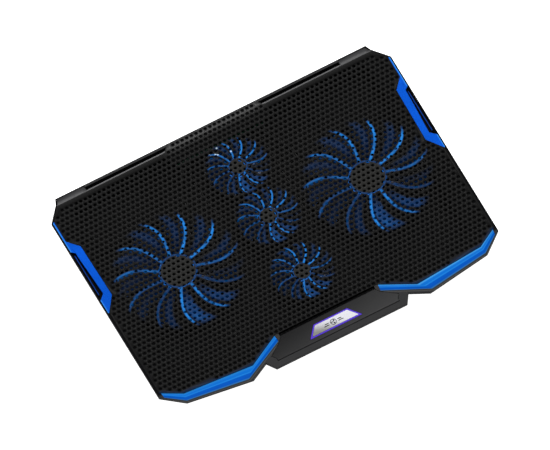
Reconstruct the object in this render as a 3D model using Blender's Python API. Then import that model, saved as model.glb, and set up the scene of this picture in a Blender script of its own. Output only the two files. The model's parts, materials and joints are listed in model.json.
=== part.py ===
"""Laptop cooling pad: five lit fans under a bent, perforated metal plate.

Metres, +Z up. The origin is on the desk, under the middle of the pad: +X is to the user's
right and +Y is to the rear. Sizes below are in millimetres and are scaled once, in metres().
"""
import math

import bmesh
import bpy
from mathutils import Matrix, Vector

MM = 0.001
SIGN = {"left": -1.0, "right": 1.0}
GAP = 0.3                    # air between pieces that touch
RUNNING_GAP = 0.08           # radial play of a pin in its hole
# How far cutters reach, clear of the whole pad.
BELOW = -1.0
ABOVE = 40.0
BEHIND = 150.0
REACH = 200.0

# ---------------------------------------------------------------- heights
SHELL_BOTTOM = 1.5
FLOOR_TOP = 3.5
PARTING = 15.0               # joint between the bottom shell and the top frame
SKIN_BOTTOM = 22.6           # underside of the top frame's skin
KNEE = 24.6                  # the rim is upright above this and leans in below it
FRAME_TOP = 27.6
PLATE_TOP = 28.0
SHEET = 1.2                  # thickness of the perforated sheet
SEAT = PLATE_TOP - SHEET - GAP
TRIM_TOP = 27.8
TRIM_BOTTOM = 25.2
FRONT_TRIM_BOTTOM = 24.3
FRONT_TRIM_INNER_TOP = 27.3
FRONT_TRIM_RIDGE = 27.9
FRONT_TRIM_OUTER_TOP = 26.3

# ---------------------------------------------------------------- plan outlines, right half
# Rear middle to front middle; mirrored() adds the left half. The casing has the body outline
# above the knee and tapers to the foot outline at its bottom.
BODY_OUTLINE = [
    (173.5, 140.0), (176.4, 133.4), (190.0, 116.7), (190.0, -111.2),
    (168.0, -129.6), (99.0, -140.0), (79.6, -129.6), (73.0, -140.0),
]
FOOT_OUTLINE = [
    (160.3, 125.4), (163.0, 119.5), (175.6, 104.6), (175.6, -99.6),
    (155.2, -114.0), (91.5, -114.0), (73.6, -112.0), (67.5, -114.0),
]
WALL = 2.4
RIM_CHAMFER = 0.5

SLOT_START = 54.5            # the rear slots run from here out to SLOT_END
SLOT_END = 142.0
SLOT_FRONT = 133.2
SLOT_REAR = 137.0
BEND = 131.2                 # the sheet bends down behind this line
BEND_DROP = 1.7
SHEET_REAR = 139.6
TONGUE_REAR = 138.2          # between the slots the flat field reaches further back
TONGUE_OVERLAP = 5.0
SLOT_UNDERCUT = 4.5          # the frame's slots run on under the tongue's corners
VENT_ROWS = 3
VENT_MARGIN = 4.0
VENT_OPEN_SHARE = 0.56
FINGER_SLOT_REAR = -104.5
FINGER_SLOT_FRONT = -108.9
FINGER_SLOT_HALF = 53.5
SIDE_TRIM_INNER = [
    (186.9, 117.2), (186.9, 91.4), (176.6, 79.4), (175.5, 15.7), (187.7, -1.6),
]
SIDE_TRIM_OUTER = [
    (188.5, -0.9), (188.5, 15.0), (182.4, 21.0), (184.8, 75.3), (188.5, 78.6), (188.5, 115.9),
]
RECESS = [(188.7, 14.8), (182.1, 20.6), (184.5, 75.5), (188.7, 78.8)]
RECESS_FLOOR = 23.4
RECESS_BAR = [(185.9, 22.2), (187.4, 22.2), (187.4, 74.2), (185.9, 74.2)]
RECESS_BAR_TOP = 25.8
FRONT_TRIM_INNER = [(58.0, -106.1), (92.0, -125.1), (166.0, -119.1), (185.4, -107.7)]
FRONT_TRIM_OUTER = [(57.4, -113.3), (102.6, -136.9), (167.0, -127.6), (184.9, -113.6)]
PLATE_CORNER = [(172.3, SHEET_REAR), (174.7, 133.1), (186.6, 118.0)]
PLATE_FRONT = [
    (187.6, -2.0), (188.0, -106.1), (185.7, -107.4), (166.1, -118.8), (92.2, -124.8), (57.2, -105.3),
]
# Opening in the frame's skin, under the perforated field.
FRAME_OPENING = [
    (52.0, 117.5), (58.0, 126.0), (158.0, 126.0), (164.0, 116.0), (164.0, -94.0),
    (150.0, -106.0), (96.0, -112.0), (66.0, -98.0),
]

# ---------------------------------------------------------------- laptop stop flap
FLAP_OUTLINE = [(52.6, -109.2), (56.0, -114.2), (71.0, -125.6), (67.7, -129.8), (67.7, -133.0)]
FLAP_THICKNESS = 2.8
FLAP_BOTTOM = FRAME_TOP - FLAP_THICKNESS
FLAP_AXIS_Z = FRAME_TOP - FLAP_THICKNESS / 2
FLAP_AXIS_Y = -133.0 + FLAP_THICKNESS / 2
FLAP_POCKET_GAP = 0.45
FLAP_PIN = (61.0, 72.2)      # each pin's ends, from the middle
FLAP_PIN_RADIUS = 0.7
BADGE = [(18.0, -116.1), (25.7, -126.3)]
BADGE_BORDER = 1.2
BADGE_BOTTOM = 26.7
BADGE_TOP = 27.9
BADGE_BORDER_TOP = 27.7

# ---------------------------------------------------------------- fans
LARGE_FAN = {"tip": 59.4, "hub": 17.6, "ring_in": 60.6, "ring_out": 62.0, "segments": 32,
             "slot_pitch": 10.0}
SMALL_FAN = {"tip": 29.4, "hub": 8.8, "ring_in": 30.3, "ring_out": 31.3, "segments": 24,
             "slot_pitch": 8.0}
FANS = {
    "left": (-106.0, 10.7, LARGE_FAN),
    "right": (106.0, 10.7, LARGE_FAN),
    "rear": (0.0, 84.4, SMALL_FAN),
    "middle": (0.0, 21.1, SMALL_FAN),
    "front": (0.0, -51.0, SMALL_FAN),
}
BLADES = 11
BLADE_STATIONS = 4
BLADE_CHORD = 20.0                # degrees
BLADE_START = 19.1                # degrees from +X to the first blade
BLADE_SWEEP = 47.0                # degrees per squared share of the tip radius
BLADE_SWEEP_CENTRE = 0.576        # share of the tip radius where the leading edge is radial
BLADE_THICKNESS = 0.9
BLADE_TOP = 20.0
BLADE_BOTTOM = 10.4
FAN_BASE = FLOOR_TOP + GAP
FAN_TOP = 19.5
BASE_DISC_TOP = 5.4
STATOR_TOP = 15.6
HUB_BOTTOM = 9.0
HUB_TOP = 20.5
HUB_WALL = 1.4
SHAFT_RADIUS = 1.5
SHAFT_TOP = 18.6
SHAFT_SEAT = SHAFT_RADIUS + 0.1   # radius of the hub's bush round the shaft
HUB_CHAMFER = 1.0
HUB_VENT = 0.6
BUSH_WALL = 1.6
STATOR_INSET = 2.8                # stator's outside, inwards from the hub's outside
STRUTS = 3
STRUT_SHARE = 0.16                # a strut's half width as a share of the hub's radius
GRILLE_MARGIN = 5.0
GRILLE_HUB_MARGIN = 2.0
GRILLE_OPEN_SHARE = 0.6

# ---------------------------------------------------------------- rear controls
PANEL_HALF = 46.0
PANEL_FACE = 132.5
PANEL_BACK = 130.9
PANEL_SHELF_TOP = 16.0
PANEL_SHELF_REAR = 133.6
BOARD_FRONT = 116.8
BOARD_REAR = 130.4
BOARD_BOTTOM = 14.4
BOARD_TOP = 15.9
USB_CENTRES = {"left": -36.0, "right": -17.0}
USB_WIDTH = 13.2
USB_BASE = 16.3
USB_TOP = 21.4
USB_FRONT = 119.0
USB_MOUTH = 133.4
USB_WALL = 0.6
USB_CAVITY_FRONT = 122.0
USB_TONGUE = ((-5.4, 121.0, 18.9), (5.4, 132.2, 20.1))   # low and high corner, from the port's middle
BOARD_HALF = 50.0
BOARD_POST = (47.0, 122.0)
BOARD_POST_RADIUS = 2.6
DIAL_X = 12.0
DIAL_Y = 128.1
DIAL_RADIUS = 8.0
DIAL_BOTTOM = 17.8
DIAL_TOP = 21.0
DIAL_STEM_RADIUS = 1.5
DIAL_EDGE = 0.5
POT_HALF = 5.0
POT_FRONT = 124.2
POT_REAR = 130.2
BUTTON_X = 35.0
BUTTON_HALF = 4.0
BUTTON_FRONT = 127.4
BUTTON_REAR = 135.0
BUTTON_BOTTOM = 17.5
BUTTON_TOP = 20.8
SWITCH_HALF = 4.5
SWITCH_FRONT = 119.3
SWITCH_REAR = 126.2
SWITCH_TOP = 21.0

# ---------------------------------------------------------------- folding rear feet
FOOT_X = 127.0
FOOT_HALF = 27.5
FOOT_AXIS_Y = 115.0
FOOT_AXIS_Z = 4.7
FOOT_RADIUS = 2.5
FOOT_FRONT = 82.4
TOE_FRONT = 78.0
TOE_HALF_HEIGHT = 2.3
TOE_CHAMFER = 1.5
TOE_INSET = 2.0
FOOT_RELIEF_MARGIN = 7.0     # solid edge left round the relief in the foot's top
FOOT_RELIEF_FLOOR = 3.7
FOOT_PIN_RADIUS = 1.2
FOOT_PIN_HALF = 31.8
FOOT_PIN_HOLE_HALF = 32.2
WELL_HALF = 29.0
WELL_FRONT = 75.6
WELL_REAR = 118.2
WELL_TOP = 8.6
WELL_WALL = 2.0
WELL_SIDE = 4.0

PAD_CENTRES = {
    "front_left": (-140.0, -99.0), "front_right": (140.0, -99.0),
    "rear_left": (-76.0, 106.0), "rear_right": (76.0, 106.0),
}
PAD_RADIUS = 7.0
PAD_TOP = 2.3
SCREW_POST_RADIUS = 4.0
SCREW_CLEARANCE = 1.8
SCREW_COUNTERBORE = (3.2, 4.2)    # radius, depth from the desk
SCREW_PILOT = (1.6, 20.0)
# (radius, height) from the head's edge to the tip, then back up inside the drive recess
SCREW_PROFILE = [(2.8, 2.1), (2.8, 3.2), (1.35, 3.9), (1.35, 19.6), (0.3, 19.6), (0.9, 2.1)]
SCREW_CENTRES = {
    "front_left": (-168.5, -88.0), "front_right": (168.5, -88.0),
    "rear_left": (-168.5, 98.0), "rear_right": (168.5, 98.0),
}

# Leads in plan, from the control board to each fan.
WIRE_RADIUS = 0.9
WIRE_HIGH = 13.1
WIRE_LOW = 4.9
WIRE_ROUTES = {
    "left": [(-44, 120), (-46, 112), (-56, 98), (-61, 78), (-61.2, 57)],
    "right": [(44, 120), (46, 112), (56, 98), (61, 78), (61.2, 57)],
    "rear": [(30, 120), (31, 115), (34, 107), (26, 105)],
    "middle": [(-38, 120), (-39, 112), (-41, 98), (-39, 58), (-30.5, 36)],
    "front": [(38, 120), (39, 112), (41, 98), (40, -20), (29.5, -33)],
}

# colour, roughness, metallic
FINISHES = {
    "black_plastic": ((0.022, 0.022, 0.024), 0.42, 0.0),
    "grey_plastic": ((0.035, 0.035, 0.038), 0.38, 0.0),
    "mesh_metal": ((0.020, 0.020, 0.022), 0.45, 1.0),
    "blue_gloss": ((0.0, 0.11, 0.78), 0.18, 0.0),
    "clear_blue": ((0.02, 0.16, 0.75), 0.20, 0.0),
    "badge_silver": ((0.80, 0.80, 0.85), 0.25, 0.6),
    "light_guide": ((0.05, 0.01, 0.45), 0.20, 0.0),
    "steel": ((0.60, 0.60, 0.62), 0.28, 1.0),
    "copper": ((0.72, 0.30, 0.14), 0.35, 1.0),
    "rubber": ((0.030, 0.030, 0.030), 0.85, 0.0),
    "board_green": ((0.01, 0.10, 0.05), 0.45, 0.0),
    "wire": ((0.04, 0.04, 0.04), 0.50, 0.0),
}


# ================================================================ helpers
def clear_scene():
    for item in list(bpy.data.objects):
        bpy.data.objects.remove(item, do_unlink=True)


def metres(point):
    return Vector(point) * MM


def paint(piece, finish):
    """Give the piece its own Principled material."""
    color, roughness, metallic = FINISHES[finish]
    material = bpy.data.materials.new(piece.name + "_" + finish)
    material.use_nodes = True
    shader = material.node_tree.nodes["Principled BSDF"]
    shader.inputs["Base Color"].default_value = (*color, 1.0)
    shader.inputs["Roughness"].default_value = roughness
    shader.inputs["Metallic"].default_value = metallic
    piece.data.materials.clear()
    piece.data.materials.append(material)


def solid(name, vertices, faces):
    """Make one object from vertices in millimetres and turn its faces outward."""
    mesh = bpy.data.meshes.new(name)
    mesh.from_pydata([metres(vertex) for vertex in vertices], [], faces)
    shape = bmesh.new()
    shape.from_mesh(mesh)
    bmesh.ops.recalc_face_normals(shape, faces=shape.faces)
    shape.to_mesh(mesh)
    shape.free()
    piece = bpy.data.objects.new(name, mesh)
    bpy.context.collection.objects.link(piece)
    return piece


def loft(name, loops, ring=False):
    """Skin a list of equal-length loops; cap the ends, or join them when it is a ring."""
    size = len(loops[0])
    vertices = [vertex for loop in loops for vertex in loop]
    faces = []
    spans = len(loops) if ring else len(loops) - 1
    for k in range(spans):
        here = k * size
        there = ((k + 1) % len(loops)) * size
        for i in range(size):
            j = (i + 1) % size
            faces.append((here + i, here + j, there + j, there + i))
    if not ring:
        faces.append(tuple(reversed(range(size))))
        faces.append(tuple(range(len(vertices) - size, len(vertices))))
    return solid(name, vertices, faces)


def prism(name, outline, low, high):
    """A plan outline (x, y) raised between two heights."""
    return loft(name, [[(x, y, z) for x, y in outline] for z in (low, high)])


def box(name, low, high):
    outline = [(low[0], low[1]), (high[0], low[1]), (high[0], high[1]), (low[0], high[1])]
    return prism(name, outline, low[2], high[2])


def circle(centre, radius, segments):
    angles = [2 * math.pi * i / segments for i in range(segments)]
    return [(centre[0] + radius * math.cos(a), centre[1] + radius * math.sin(a)) for a in angles]


def disc(name, centre, radius, low, high, segments=24):
    return prism(name, circle(centre, radius, segments), low, high)


def turned(name, centre, profile, segments):
    """A closed (radius, height) profile turned about a vertical axis."""
    loops = []
    for i in range(segments):
        a = 2 * math.pi * i / segments
        loops.append([(centre[0] + r * math.cos(a), centre[1] + r * math.sin(a), z)
                      for r, z in profile])
    return loft(name, loops, ring=True)


def half_circle(radius, steps=8):
    """Points (y, z) of a half circle on the +Y side of the origin, from bottom to top."""
    angles = [-math.pi / 2 + math.pi * i / steps for i in range(steps + 1)]
    return [(radius * math.cos(a), radius * math.sin(a)) for a in angles]


def cross_rod(name, middle, half_length, y, z, radius, segments=16):
    """A round rod along X."""
    loops = []
    for x in (middle - half_length, middle + half_length):
        loops.append([(x, y + radius * math.cos(a), z + radius * math.sin(a))
                      for a in (2 * math.pi * i / segments for i in range(segments))])
    return loft(name, loops)


def extruded_x(name, profile, x_start, x_end):
    """A (y, z) profile pulled along X."""
    return loft(name, [[(x, y, z) for y, z in profile] for x in (x_start, x_end)])


def tube(name, path, radius, sides=6):
    """A wire: a small polygon carried along a path of points."""
    points = [Vector(point) for point in path]
    loops = []
    for k, point in enumerate(points):
        before = points[max(k - 1, 0)]
        after = points[min(k + 1, len(points) - 1)]
        along = (after - before).normalized()
        side = along.cross(Vector((0.0, 0.0, 1.0))).normalized()
        up = side.cross(along)
        loops.append([point + radius * (math.cos(a) * side + math.sin(a) * up)
                      for a in (2 * math.pi * i / sides for i in range(sides))])
    return loft(name, loops)


def merged(name, pieces):
    """Several separate cutters as one object."""
    shape = bmesh.new()
    for piece in pieces:
        shape.from_mesh(piece.data)
        bpy.data.objects.remove(piece, do_unlink=True)
    mesh = bpy.data.meshes.new(name)
    shape.to_mesh(mesh)
    shape.free()
    tool = bpy.data.objects.new(name, mesh)
    bpy.context.collection.objects.link(tool)
    return tool


def boolean(piece, tool, operation):
    tool.hide_render = True
    tool.display_type = "WIRE"
    modifier = piece.modifiers.new(tool.name, "BOOLEAN")
    modifier.operation = operation
    modifier.solver = "EXACT"
    modifier.object = tool


def cut(piece, *tools):
    for tool in tools:
        boolean(piece, tool, "DIFFERENCE")


def join(piece, *tools):
    for tool in tools:
        boolean(piece, tool, "UNION")


def pivot_at(piece, point):
    """Move the object's origin to a point without moving its surface."""
    origin = metres(point)
    piece.data.transform(Matrix.Translation(-origin))
    piece.location = origin


def smooth(piece, angle=math.radians(35)):
    piece.data.shade_smooth()
    piece.data.set_sharp_from_angle(angle=angle)


def mirrored(half):
    """Close a right-hand half outline with its left-hand copy."""
    return half + [(-x, y) for x, y in reversed(half)]


def on_side(outline, side):
    """A right-hand outline, or its mirror image for the left."""
    return outline if side == "right" else [(-x, y) for x, y in outline]


def grown(outline, distance):
    """Offset a closed outline outward by mitring each pair of edges."""
    count = len(outline)
    area = 0.0
    for (x1, y1), (x2, y2) in zip(outline, outline[1:] + outline[:1]):
        area += x1 * y2 - x2 * y1
    sign = 1.0 if area > 0 else -1.0
    result = []
    for i in range(count):
        here = Vector(outline[i])
        before = (here - Vector(outline[i - 1])).normalized()
        after = (Vector(outline[(i + 1) % count]) - here).normalized()
        first = Vector((before.y, -before.x)) * sign
        second = Vector((after.y, -after.x)) * sign
        corner = (first + second) / (1.0 + first.dot(second))
        result.append(tuple(here + distance * corner))
    return result


def level(z, inset=0.0):
    """The casing's section at height z, drawn in by inset."""
    taper = min(max((KNEE - z) / (KNEE - SHELL_BOTTOM), 0.0), 1.0)
    half = []
    for upper, lower in zip(BODY_OUTLINE, FOOT_OUTLINE):
        half.append(tuple(Vector(upper).lerp(Vector(lower), taper)))
    return [(x, y, z) for x, y in grown(mirrored(half), -inset)]


# ================================================================ casing
def grille_slots(fan_name, centre, fan):
    """Parallel air slots under a fan, kept off the motor's base."""
    radius = fan["ring_in"] - GRILLE_MARGIN
    keep_out = fan["hub"] + GRILLE_HUB_MARGIN
    pitch = fan["slot_pitch"]
    half_width = pitch * GRILLE_OPEN_SHARE / 2
    rows = int(radius // pitch)
    slots = []
    for row in range(-rows, rows + 1):
        offset = row * pitch
        corner = abs(offset) + half_width
        if corner > radius - pitch / 2:
            continue
        reach = math.sqrt(radius ** 2 - corner ** 2)
        near_edge = max(abs(offset) - half_width, 0.0)
        spans = [(-reach, reach)]
        if near_edge < keep_out:
            clear = math.sqrt(keep_out ** 2 - near_edge ** 2)
            spans = [(-reach, -clear), (clear, reach)]
        for start, end in spans:
            slots.append(box("slot", (centre[0] + start, centre[1] + offset - half_width, BELOW),
                             (centre[0] + end, centre[1] + offset + half_width, FLOOR_TOP + 1.0)))
    return merged("grille_cutter_" + fan_name, slots)


def well_box(side, name, grow_x, grow_y, bottom, top):
    """Box round a foot's well, wider by grow_x and grow_y on each side."""
    centre = SIGN[side] * FOOT_X
    half = WELL_HALF + grow_x
    low = (centre - half, WELL_FRONT - grow_y, bottom)
    high = (centre + half, WELL_REAR + grow_y, top)
    return box(name + side, low, high)


def build_bottom_shell():
    """A tray whose walls lean in towards the desk."""
    shell = loft("bottom_shell", [
        level(SHELL_BOTTOM), level(PARTING - GAP), level(PARTING - GAP, WALL), level(FLOOR_TOP, WALL)])
    buried = FLOOR_TOP - 1.0
    for side in SIGN:
        join(shell, well_box(side, "foot_well_body_", WELL_SIDE, WELL_WALL,
                             SHELL_BOTTOM, WELL_TOP + WELL_WALL))
        post = (SIGN[side] * BOARD_POST[0], BOARD_POST[1])
        join(shell, disc("board_post_" + side, post, BOARD_POST_RADIUS, buried, BOARD_BOTTOM - GAP, 12))
    for name, centre in SCREW_CENTRES.items():
        join(shell, disc("screw_post_" + name, centre, SCREW_POST_RADIUS, buried, PARTING - GAP, 16))
    for side in SIGN:
        cut(shell, well_box(side, "foot_well_cutter_", 0.0, 0.0, BELOW, WELL_TOP))
        cut(shell, cross_rod("foot_pin_hole_" + side, SIGN[side] * FOOT_X, FOOT_PIN_HOLE_HALF,
                             FOOT_AXIS_Y, FOOT_AXIS_Z, FOOT_PIN_RADIUS + RUNNING_GAP))
    for name, (x, y, fan) in FANS.items():
        cut(shell, grille_slots(name, (x, y), fan))
    sink_radius, sink_top = SCREW_COUNTERBORE
    for name, centre in SCREW_CENTRES.items():
        cut(shell, disc("screw_clearance_" + name, centre, SCREW_CLEARANCE, BELOW, PARTING + 1.0, 12))
        cut(shell, disc("screw_counterbore_" + name, centre, sink_radius, BELOW, sink_top, 16))
    for name, centre in PAD_CENTRES.items():
        cut(shell, disc("pad_recess_" + name, centre, PAD_RADIUS + GAP, BELOW, PAD_TOP + GAP, 24))
    paint(shell, "black_plastic")


def sheet_profile(bottom, top, clearance=0.0):
    """Section of a sheet with the plate's bend, front to rear."""
    rear = SHEET_REAR + 3 * clearance
    return [(-REACH, bottom), (BEND, bottom), (rear, bottom - BEND_DROP),
            (rear, top - BEND_DROP), (BEND, top), (-REACH, top)]


def plate_outline():
    """The bent sheet in plan: it stops short of the rear slots and wraps the side trims."""
    side = [(x - GAP, y) for x, y in SIDE_TRIM_INNER[1:4]]
    half = [(SLOT_END, SLOT_FRONT), (SLOT_END, SHEET_REAR)] + PLATE_CORNER + side + PLATE_FRONT
    return mirrored(half)


def tongue_outline():
    """Flat tongue between the two rear slots, with its rear corners cut at 45 degrees."""
    step = SLOT_START - (TONGUE_REAR - SLOT_FRONT)
    return mirrored([(step, TONGUE_REAR), (SLOT_START, SLOT_FRONT), (SLOT_START, BEND - TONGUE_OVERLAP)])


def build_mesh_plate():
    """Bent sheet cut to its outline, with coarse vents over the fans."""
    plate = extruded_x("mesh_plate", sheet_profile(PLATE_TOP - SHEET, PLATE_TOP), -REACH, REACH)
    boolean(plate, prism("plate_outline_tool", plate_outline(), BELOW, ABOVE), "INTERSECT")
    cut(plate, box("plate_middle_cutter", (-SLOT_START, BEND - TONGUE_OVERLAP + 1.0, BELOW),
                   (SLOT_START, BEHIND, ABOVE)))
    join(plate, prism("plate_tongue", tongue_outline(), PLATE_TOP - SHEET, PLATE_TOP))
    for name, (x, y, fan) in FANS.items():
        radius = fan["tip"] - VENT_MARGIN
        pitch = radius / (VENT_ROWS + 0.3)
        half_width = pitch * VENT_OPEN_SHARE / 2
        vents = []
        for row in range(-VENT_ROWS, VENT_ROWS + 1):
            middle = y + row * pitch
            reach = math.sqrt(radius ** 2 - (abs(row) * pitch) ** 2)
            vents.append(box("vent", (x - reach, middle - half_width, BELOW),
                             (x + reach, middle + half_width, ABOVE)))
        cut(plate, merged("plate_vents_" + name, vents))
    paint(plate, "mesh_metal")


def build_top_frame():
    """Rim that carries the plate, with pockets for the trims, the flap and the recesses."""
    frame = loft("top_frame", [
        level(SKIN_BOTTOM, WALL), level(PARTING, WALL), level(PARTING),
        level(KNEE), level(FRAME_TOP - RIM_CHAMFER), level(FRAME_TOP, RIM_CHAMFER)])
    cut(frame, prism("frame_opening", mirrored(FRAME_OPENING), PARTING, ABOVE))
    pocket = extruded_x("frame_plate_pocket", sheet_profile(SEAT, ABOVE, GAP), -REACH, REACH)
    boolean(pocket, prism("pocket_outline_tool", grown(plate_outline(), GAP), BELOW, ABOVE), "INTERSECT")
    cut(pocket, box("pocket_middle_tool", (-SLOT_START, BEND - TONGUE_OVERLAP + 1.0, BELOW),
                    (SLOT_START, BEHIND, ABOVE + 1.0)))
    cut(frame, pocket)
    cut(frame, prism("frame_tongue_pocket", grown(tongue_outline(), GAP), SEAT, ABOVE))
    for side in SIGN:
        slot = [(SLOT_START - SLOT_UNDERCUT, SLOT_FRONT), (SLOT_END, SLOT_FRONT),
                (SLOT_END, SLOT_REAR), (SLOT_START - SLOT_UNDERCUT, SLOT_REAR)]
        cut(frame, prism("frame_rear_slot_" + side, on_side(slot, side), SKIN_BOTTOM - 1.0, ABOVE))
    for side in SIGN:
        trim = on_side(SIDE_TRIM_INNER + SIDE_TRIM_OUTER, side)
        cut(frame, prism("side_trim_pocket_" + side, grown(trim, GAP), TRIM_BOTTOM - GAP, ABOVE))
        cut(frame, prism("recess_cutter_" + side, on_side(RECESS, side), RECESS_FLOOR, ABOVE))
        bar = on_side(RECESS_BAR, side)
        join(frame, prism("recess_bar_" + side, bar, RECESS_FLOOR - 0.5, RECESS_BAR_TOP))
        front = on_side(FRONT_TRIM_INNER + FRONT_TRIM_OUTER[::-1], side)
        cut(frame, prism("front_trim_pocket_" + side, grown(front, GAP), FRONT_TRIM_BOTTOM - GAP, ABOVE))
    cut(frame, box("finger_slot", (-FINGER_SLOT_HALF, FINGER_SLOT_FRONT, SKIN_BOTTOM - 1.0),
                   (FINGER_SLOT_HALF, FINGER_SLOT_REAR, ABOVE)))
    flap_hole = grown(mirrored(FLAP_OUTLINE), FLAP_POCKET_GAP)
    cut(frame, prism("flap_pocket", flap_hole, FLAP_BOTTOM - GAP, ABOVE))
    cut(frame, cross_rod("flap_pin_hole", 0.0, FLAP_PIN[1] + FLAP_POCKET_GAP, FLAP_AXIS_Y, FLAP_AXIS_Z,
                         FLAP_PIN_RADIUS + RUNNING_GAP, 12))
    cut(frame, box("rear_panel_notch", (-PANEL_HALF, BOARD_REAR - 4.0, PARTING - 1.0),
                   (PANEL_HALF, BEHIND, SKIN_BOTTOM)))
    for name, centre in SCREW_CENTRES.items():
        join(frame, disc("screw_boss_" + name, centre, SCREW_POST_RADIUS, PARTING, SKIN_BOTTOM + 1.0, 16))
        cut(frame, disc("screw_pilot_" + name, centre, SCREW_PILOT[0], PARTING - 1.0, SCREW_PILOT[1], 12))
    paint(frame, "grey_plastic")


def build_side_trim(side):
    outline = on_side(SIDE_TRIM_INNER + SIDE_TRIM_OUTER, side)
    trim = prism("side_trim_" + side, outline, TRIM_BOTTOM, TRIM_TOP)
    paint(trim, "blue_gloss")


def build_front_trim(side):
    """Two long facets that meet on a ridge."""
    loops = []
    for inner, outer in zip(on_side(FRONT_TRIM_INNER, side), on_side(FRONT_TRIM_OUTER, side)):
        ridge = ((inner[0] + outer[0]) / 2, (inner[1] + outer[1]) / 2)
        loops.append([
            (*inner, FRONT_TRIM_BOTTOM), (*inner, FRONT_TRIM_INNER_TOP), (*ridge, FRONT_TRIM_RIDGE),
            (*outer, FRONT_TRIM_OUTER_TOP), (*outer, FRONT_TRIM_BOTTOM),
        ])
    trim = loft("front_trim_" + side, loops)
    paint(trim, "blue_gloss")


# ================================================================ flap and badge
def build_flap():
    """Laptop stop: it lifts at its rear edge and turns on two pins at its rounded front edge."""
    rear = FLAP_OUTLINE[0][1] + 1.0
    nose = [(FLAP_AXIS_Y - y, FLAP_AXIS_Z - z) for y, z in half_circle(FLAP_THICKNESS / 2)]
    profile = [(rear, FRAME_TOP)] + nose + [(rear, FLAP_BOTTOM)]
    flap = extruded_x("front_flap", profile, -REACH, REACH)
    outline = prism("flap_outline_tool", mirrored(FLAP_OUTLINE), BELOW, ABOVE)
    boolean(flap, outline, "INTERSECT")
    for side in SIGN:
        middle = SIGN[side] * (FLAP_PIN[0] + FLAP_PIN[1]) / 2
        half = (FLAP_PIN[1] - FLAP_PIN[0]) / 2
        cut(flap, cross_rod("flap_bore_" + side, middle, half + GAP, FLAP_AXIS_Y, FLAP_AXIS_Z,
                            FLAP_PIN_RADIUS + RUNNING_GAP, 12))
        pin = cross_rod("flap_pin_" + side, middle, half, FLAP_AXIS_Y, FLAP_AXIS_Z, FLAP_PIN_RADIUS, 12)
        smooth(pin)
        paint(pin, "steel")
    pocket = grown(mirrored(BADGE), BADGE_BORDER + 2 * GAP)
    cut(flap, prism("badge_pocket", pocket, BADGE_BOTTOM - GAP, ABOVE))
    axis = (0.0, FLAP_AXIS_Y, FLAP_AXIS_Z)
    pivot_at(flap, axis)
    paint(flap, "grey_plastic")

    badge = prism("badge_plate", mirrored(BADGE), BADGE_BOTTOM, BADGE_TOP)
    pivot_at(badge, axis)
    paint(badge, "badge_silver")

    outer = grown(mirrored(BADGE), BADGE_BORDER + GAP)
    inner = grown(mirrored(BADGE), GAP)
    sections = [(outer, BADGE_BOTTOM), (outer, BADGE_BORDER_TOP),
                (inner, BADGE_BORDER_TOP), (inner, BADGE_BOTTOM)]
    border = loft("badge_light_border", [[(x, y, z) for x, y in ring] for ring, z in sections], ring=True)
    pivot_at(border, axis)
    paint(border, "light_guide")


# ================================================================ fans
def blade_angle(share):
    """Angle of a blade's leading edge at a share of the tip radius, in degrees from its start."""
    return BLADE_SWEEP * (share - BLADE_SWEEP_CENTRE) ** 2


def blade_loops(centre, fan, start):
    """Sections of one pitched blade, hub to tip: high on its leading edge, low on the other."""
    loops = []
    root = fan["hub"] - HUB_WALL / 2
    for k in range(BLADE_STATIONS):
        radius = root + (fan["tip"] - root) * k / (BLADE_STATIONS - 1)
        leading = start + blade_angle(radius / fan["tip"])
        upper = []
        lower = []
        for angle, z in ((leading, BLADE_TOP), (leading + BLADE_CHORD, BLADE_BOTTOM)):
            a = math.radians(angle)
            x = centre[0] + radius * math.cos(a)
            y = centre[1] + radius * math.sin(a)
            upper.append((x, y, z))
            lower.append((x, y, z - BLADE_THICKNESS))
        loops.append(upper + lower[::-1])
    return loops


def build_fan_frame(name, centre, fan):
    """Ring, motor base and the struts that join them."""
    hub = fan["hub"]
    frame = turned("fan_frame_" + name, centre, [
        (fan["ring_out"], FAN_BASE), (fan["ring_out"], FAN_TOP),
        (fan["ring_in"], FAN_TOP), (fan["ring_in"], FAN_BASE)], fan["segments"])
    join(frame, disc("fan_base_" + name, centre, hub, FAN_BASE, BASE_DISC_TOP, 24))
    for k in range(STRUTS):
        a = math.radians(90 + 360 * k / STRUTS)
        along = Vector((math.cos(a), math.sin(a)))
        across = Vector((-along.y, along.x)) * hub * STRUT_SHARE
        start = Vector(centre) + along * hub / 2
        end = Vector(centre) + along * (fan["ring_in"] + fan["ring_out"]) / 2
        strut = [tuple(start - across), tuple(end - across), tuple(end + across), tuple(start + across)]
        join(frame, prism("fan_strut_%s_%d" % (name, k), strut, FAN_BASE, BASE_DISC_TOP))
    paint(frame, "black_plastic")


def build_motor(name, centre, fan):
    outside = fan["hub"] - STATOR_INSET
    bore = SHAFT_RADIUS + RUNNING_GAP
    bottom = BASE_DISC_TOP + GAP
    stator = turned("fan_stator_" + name, centre, [
        (outside, bottom), (outside, STATOR_TOP), (bore, STATOR_TOP), (bore, bottom)], 24)
    paint(stator, "copper")

    shaft = disc("fan_shaft_" + name, centre, SHAFT_RADIUS, bottom, SHAFT_TOP, 24)
    smooth(shaft)
    pivot_at(shaft, (*centre, FAN_BASE))
    paint(shaft, "steel")


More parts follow.
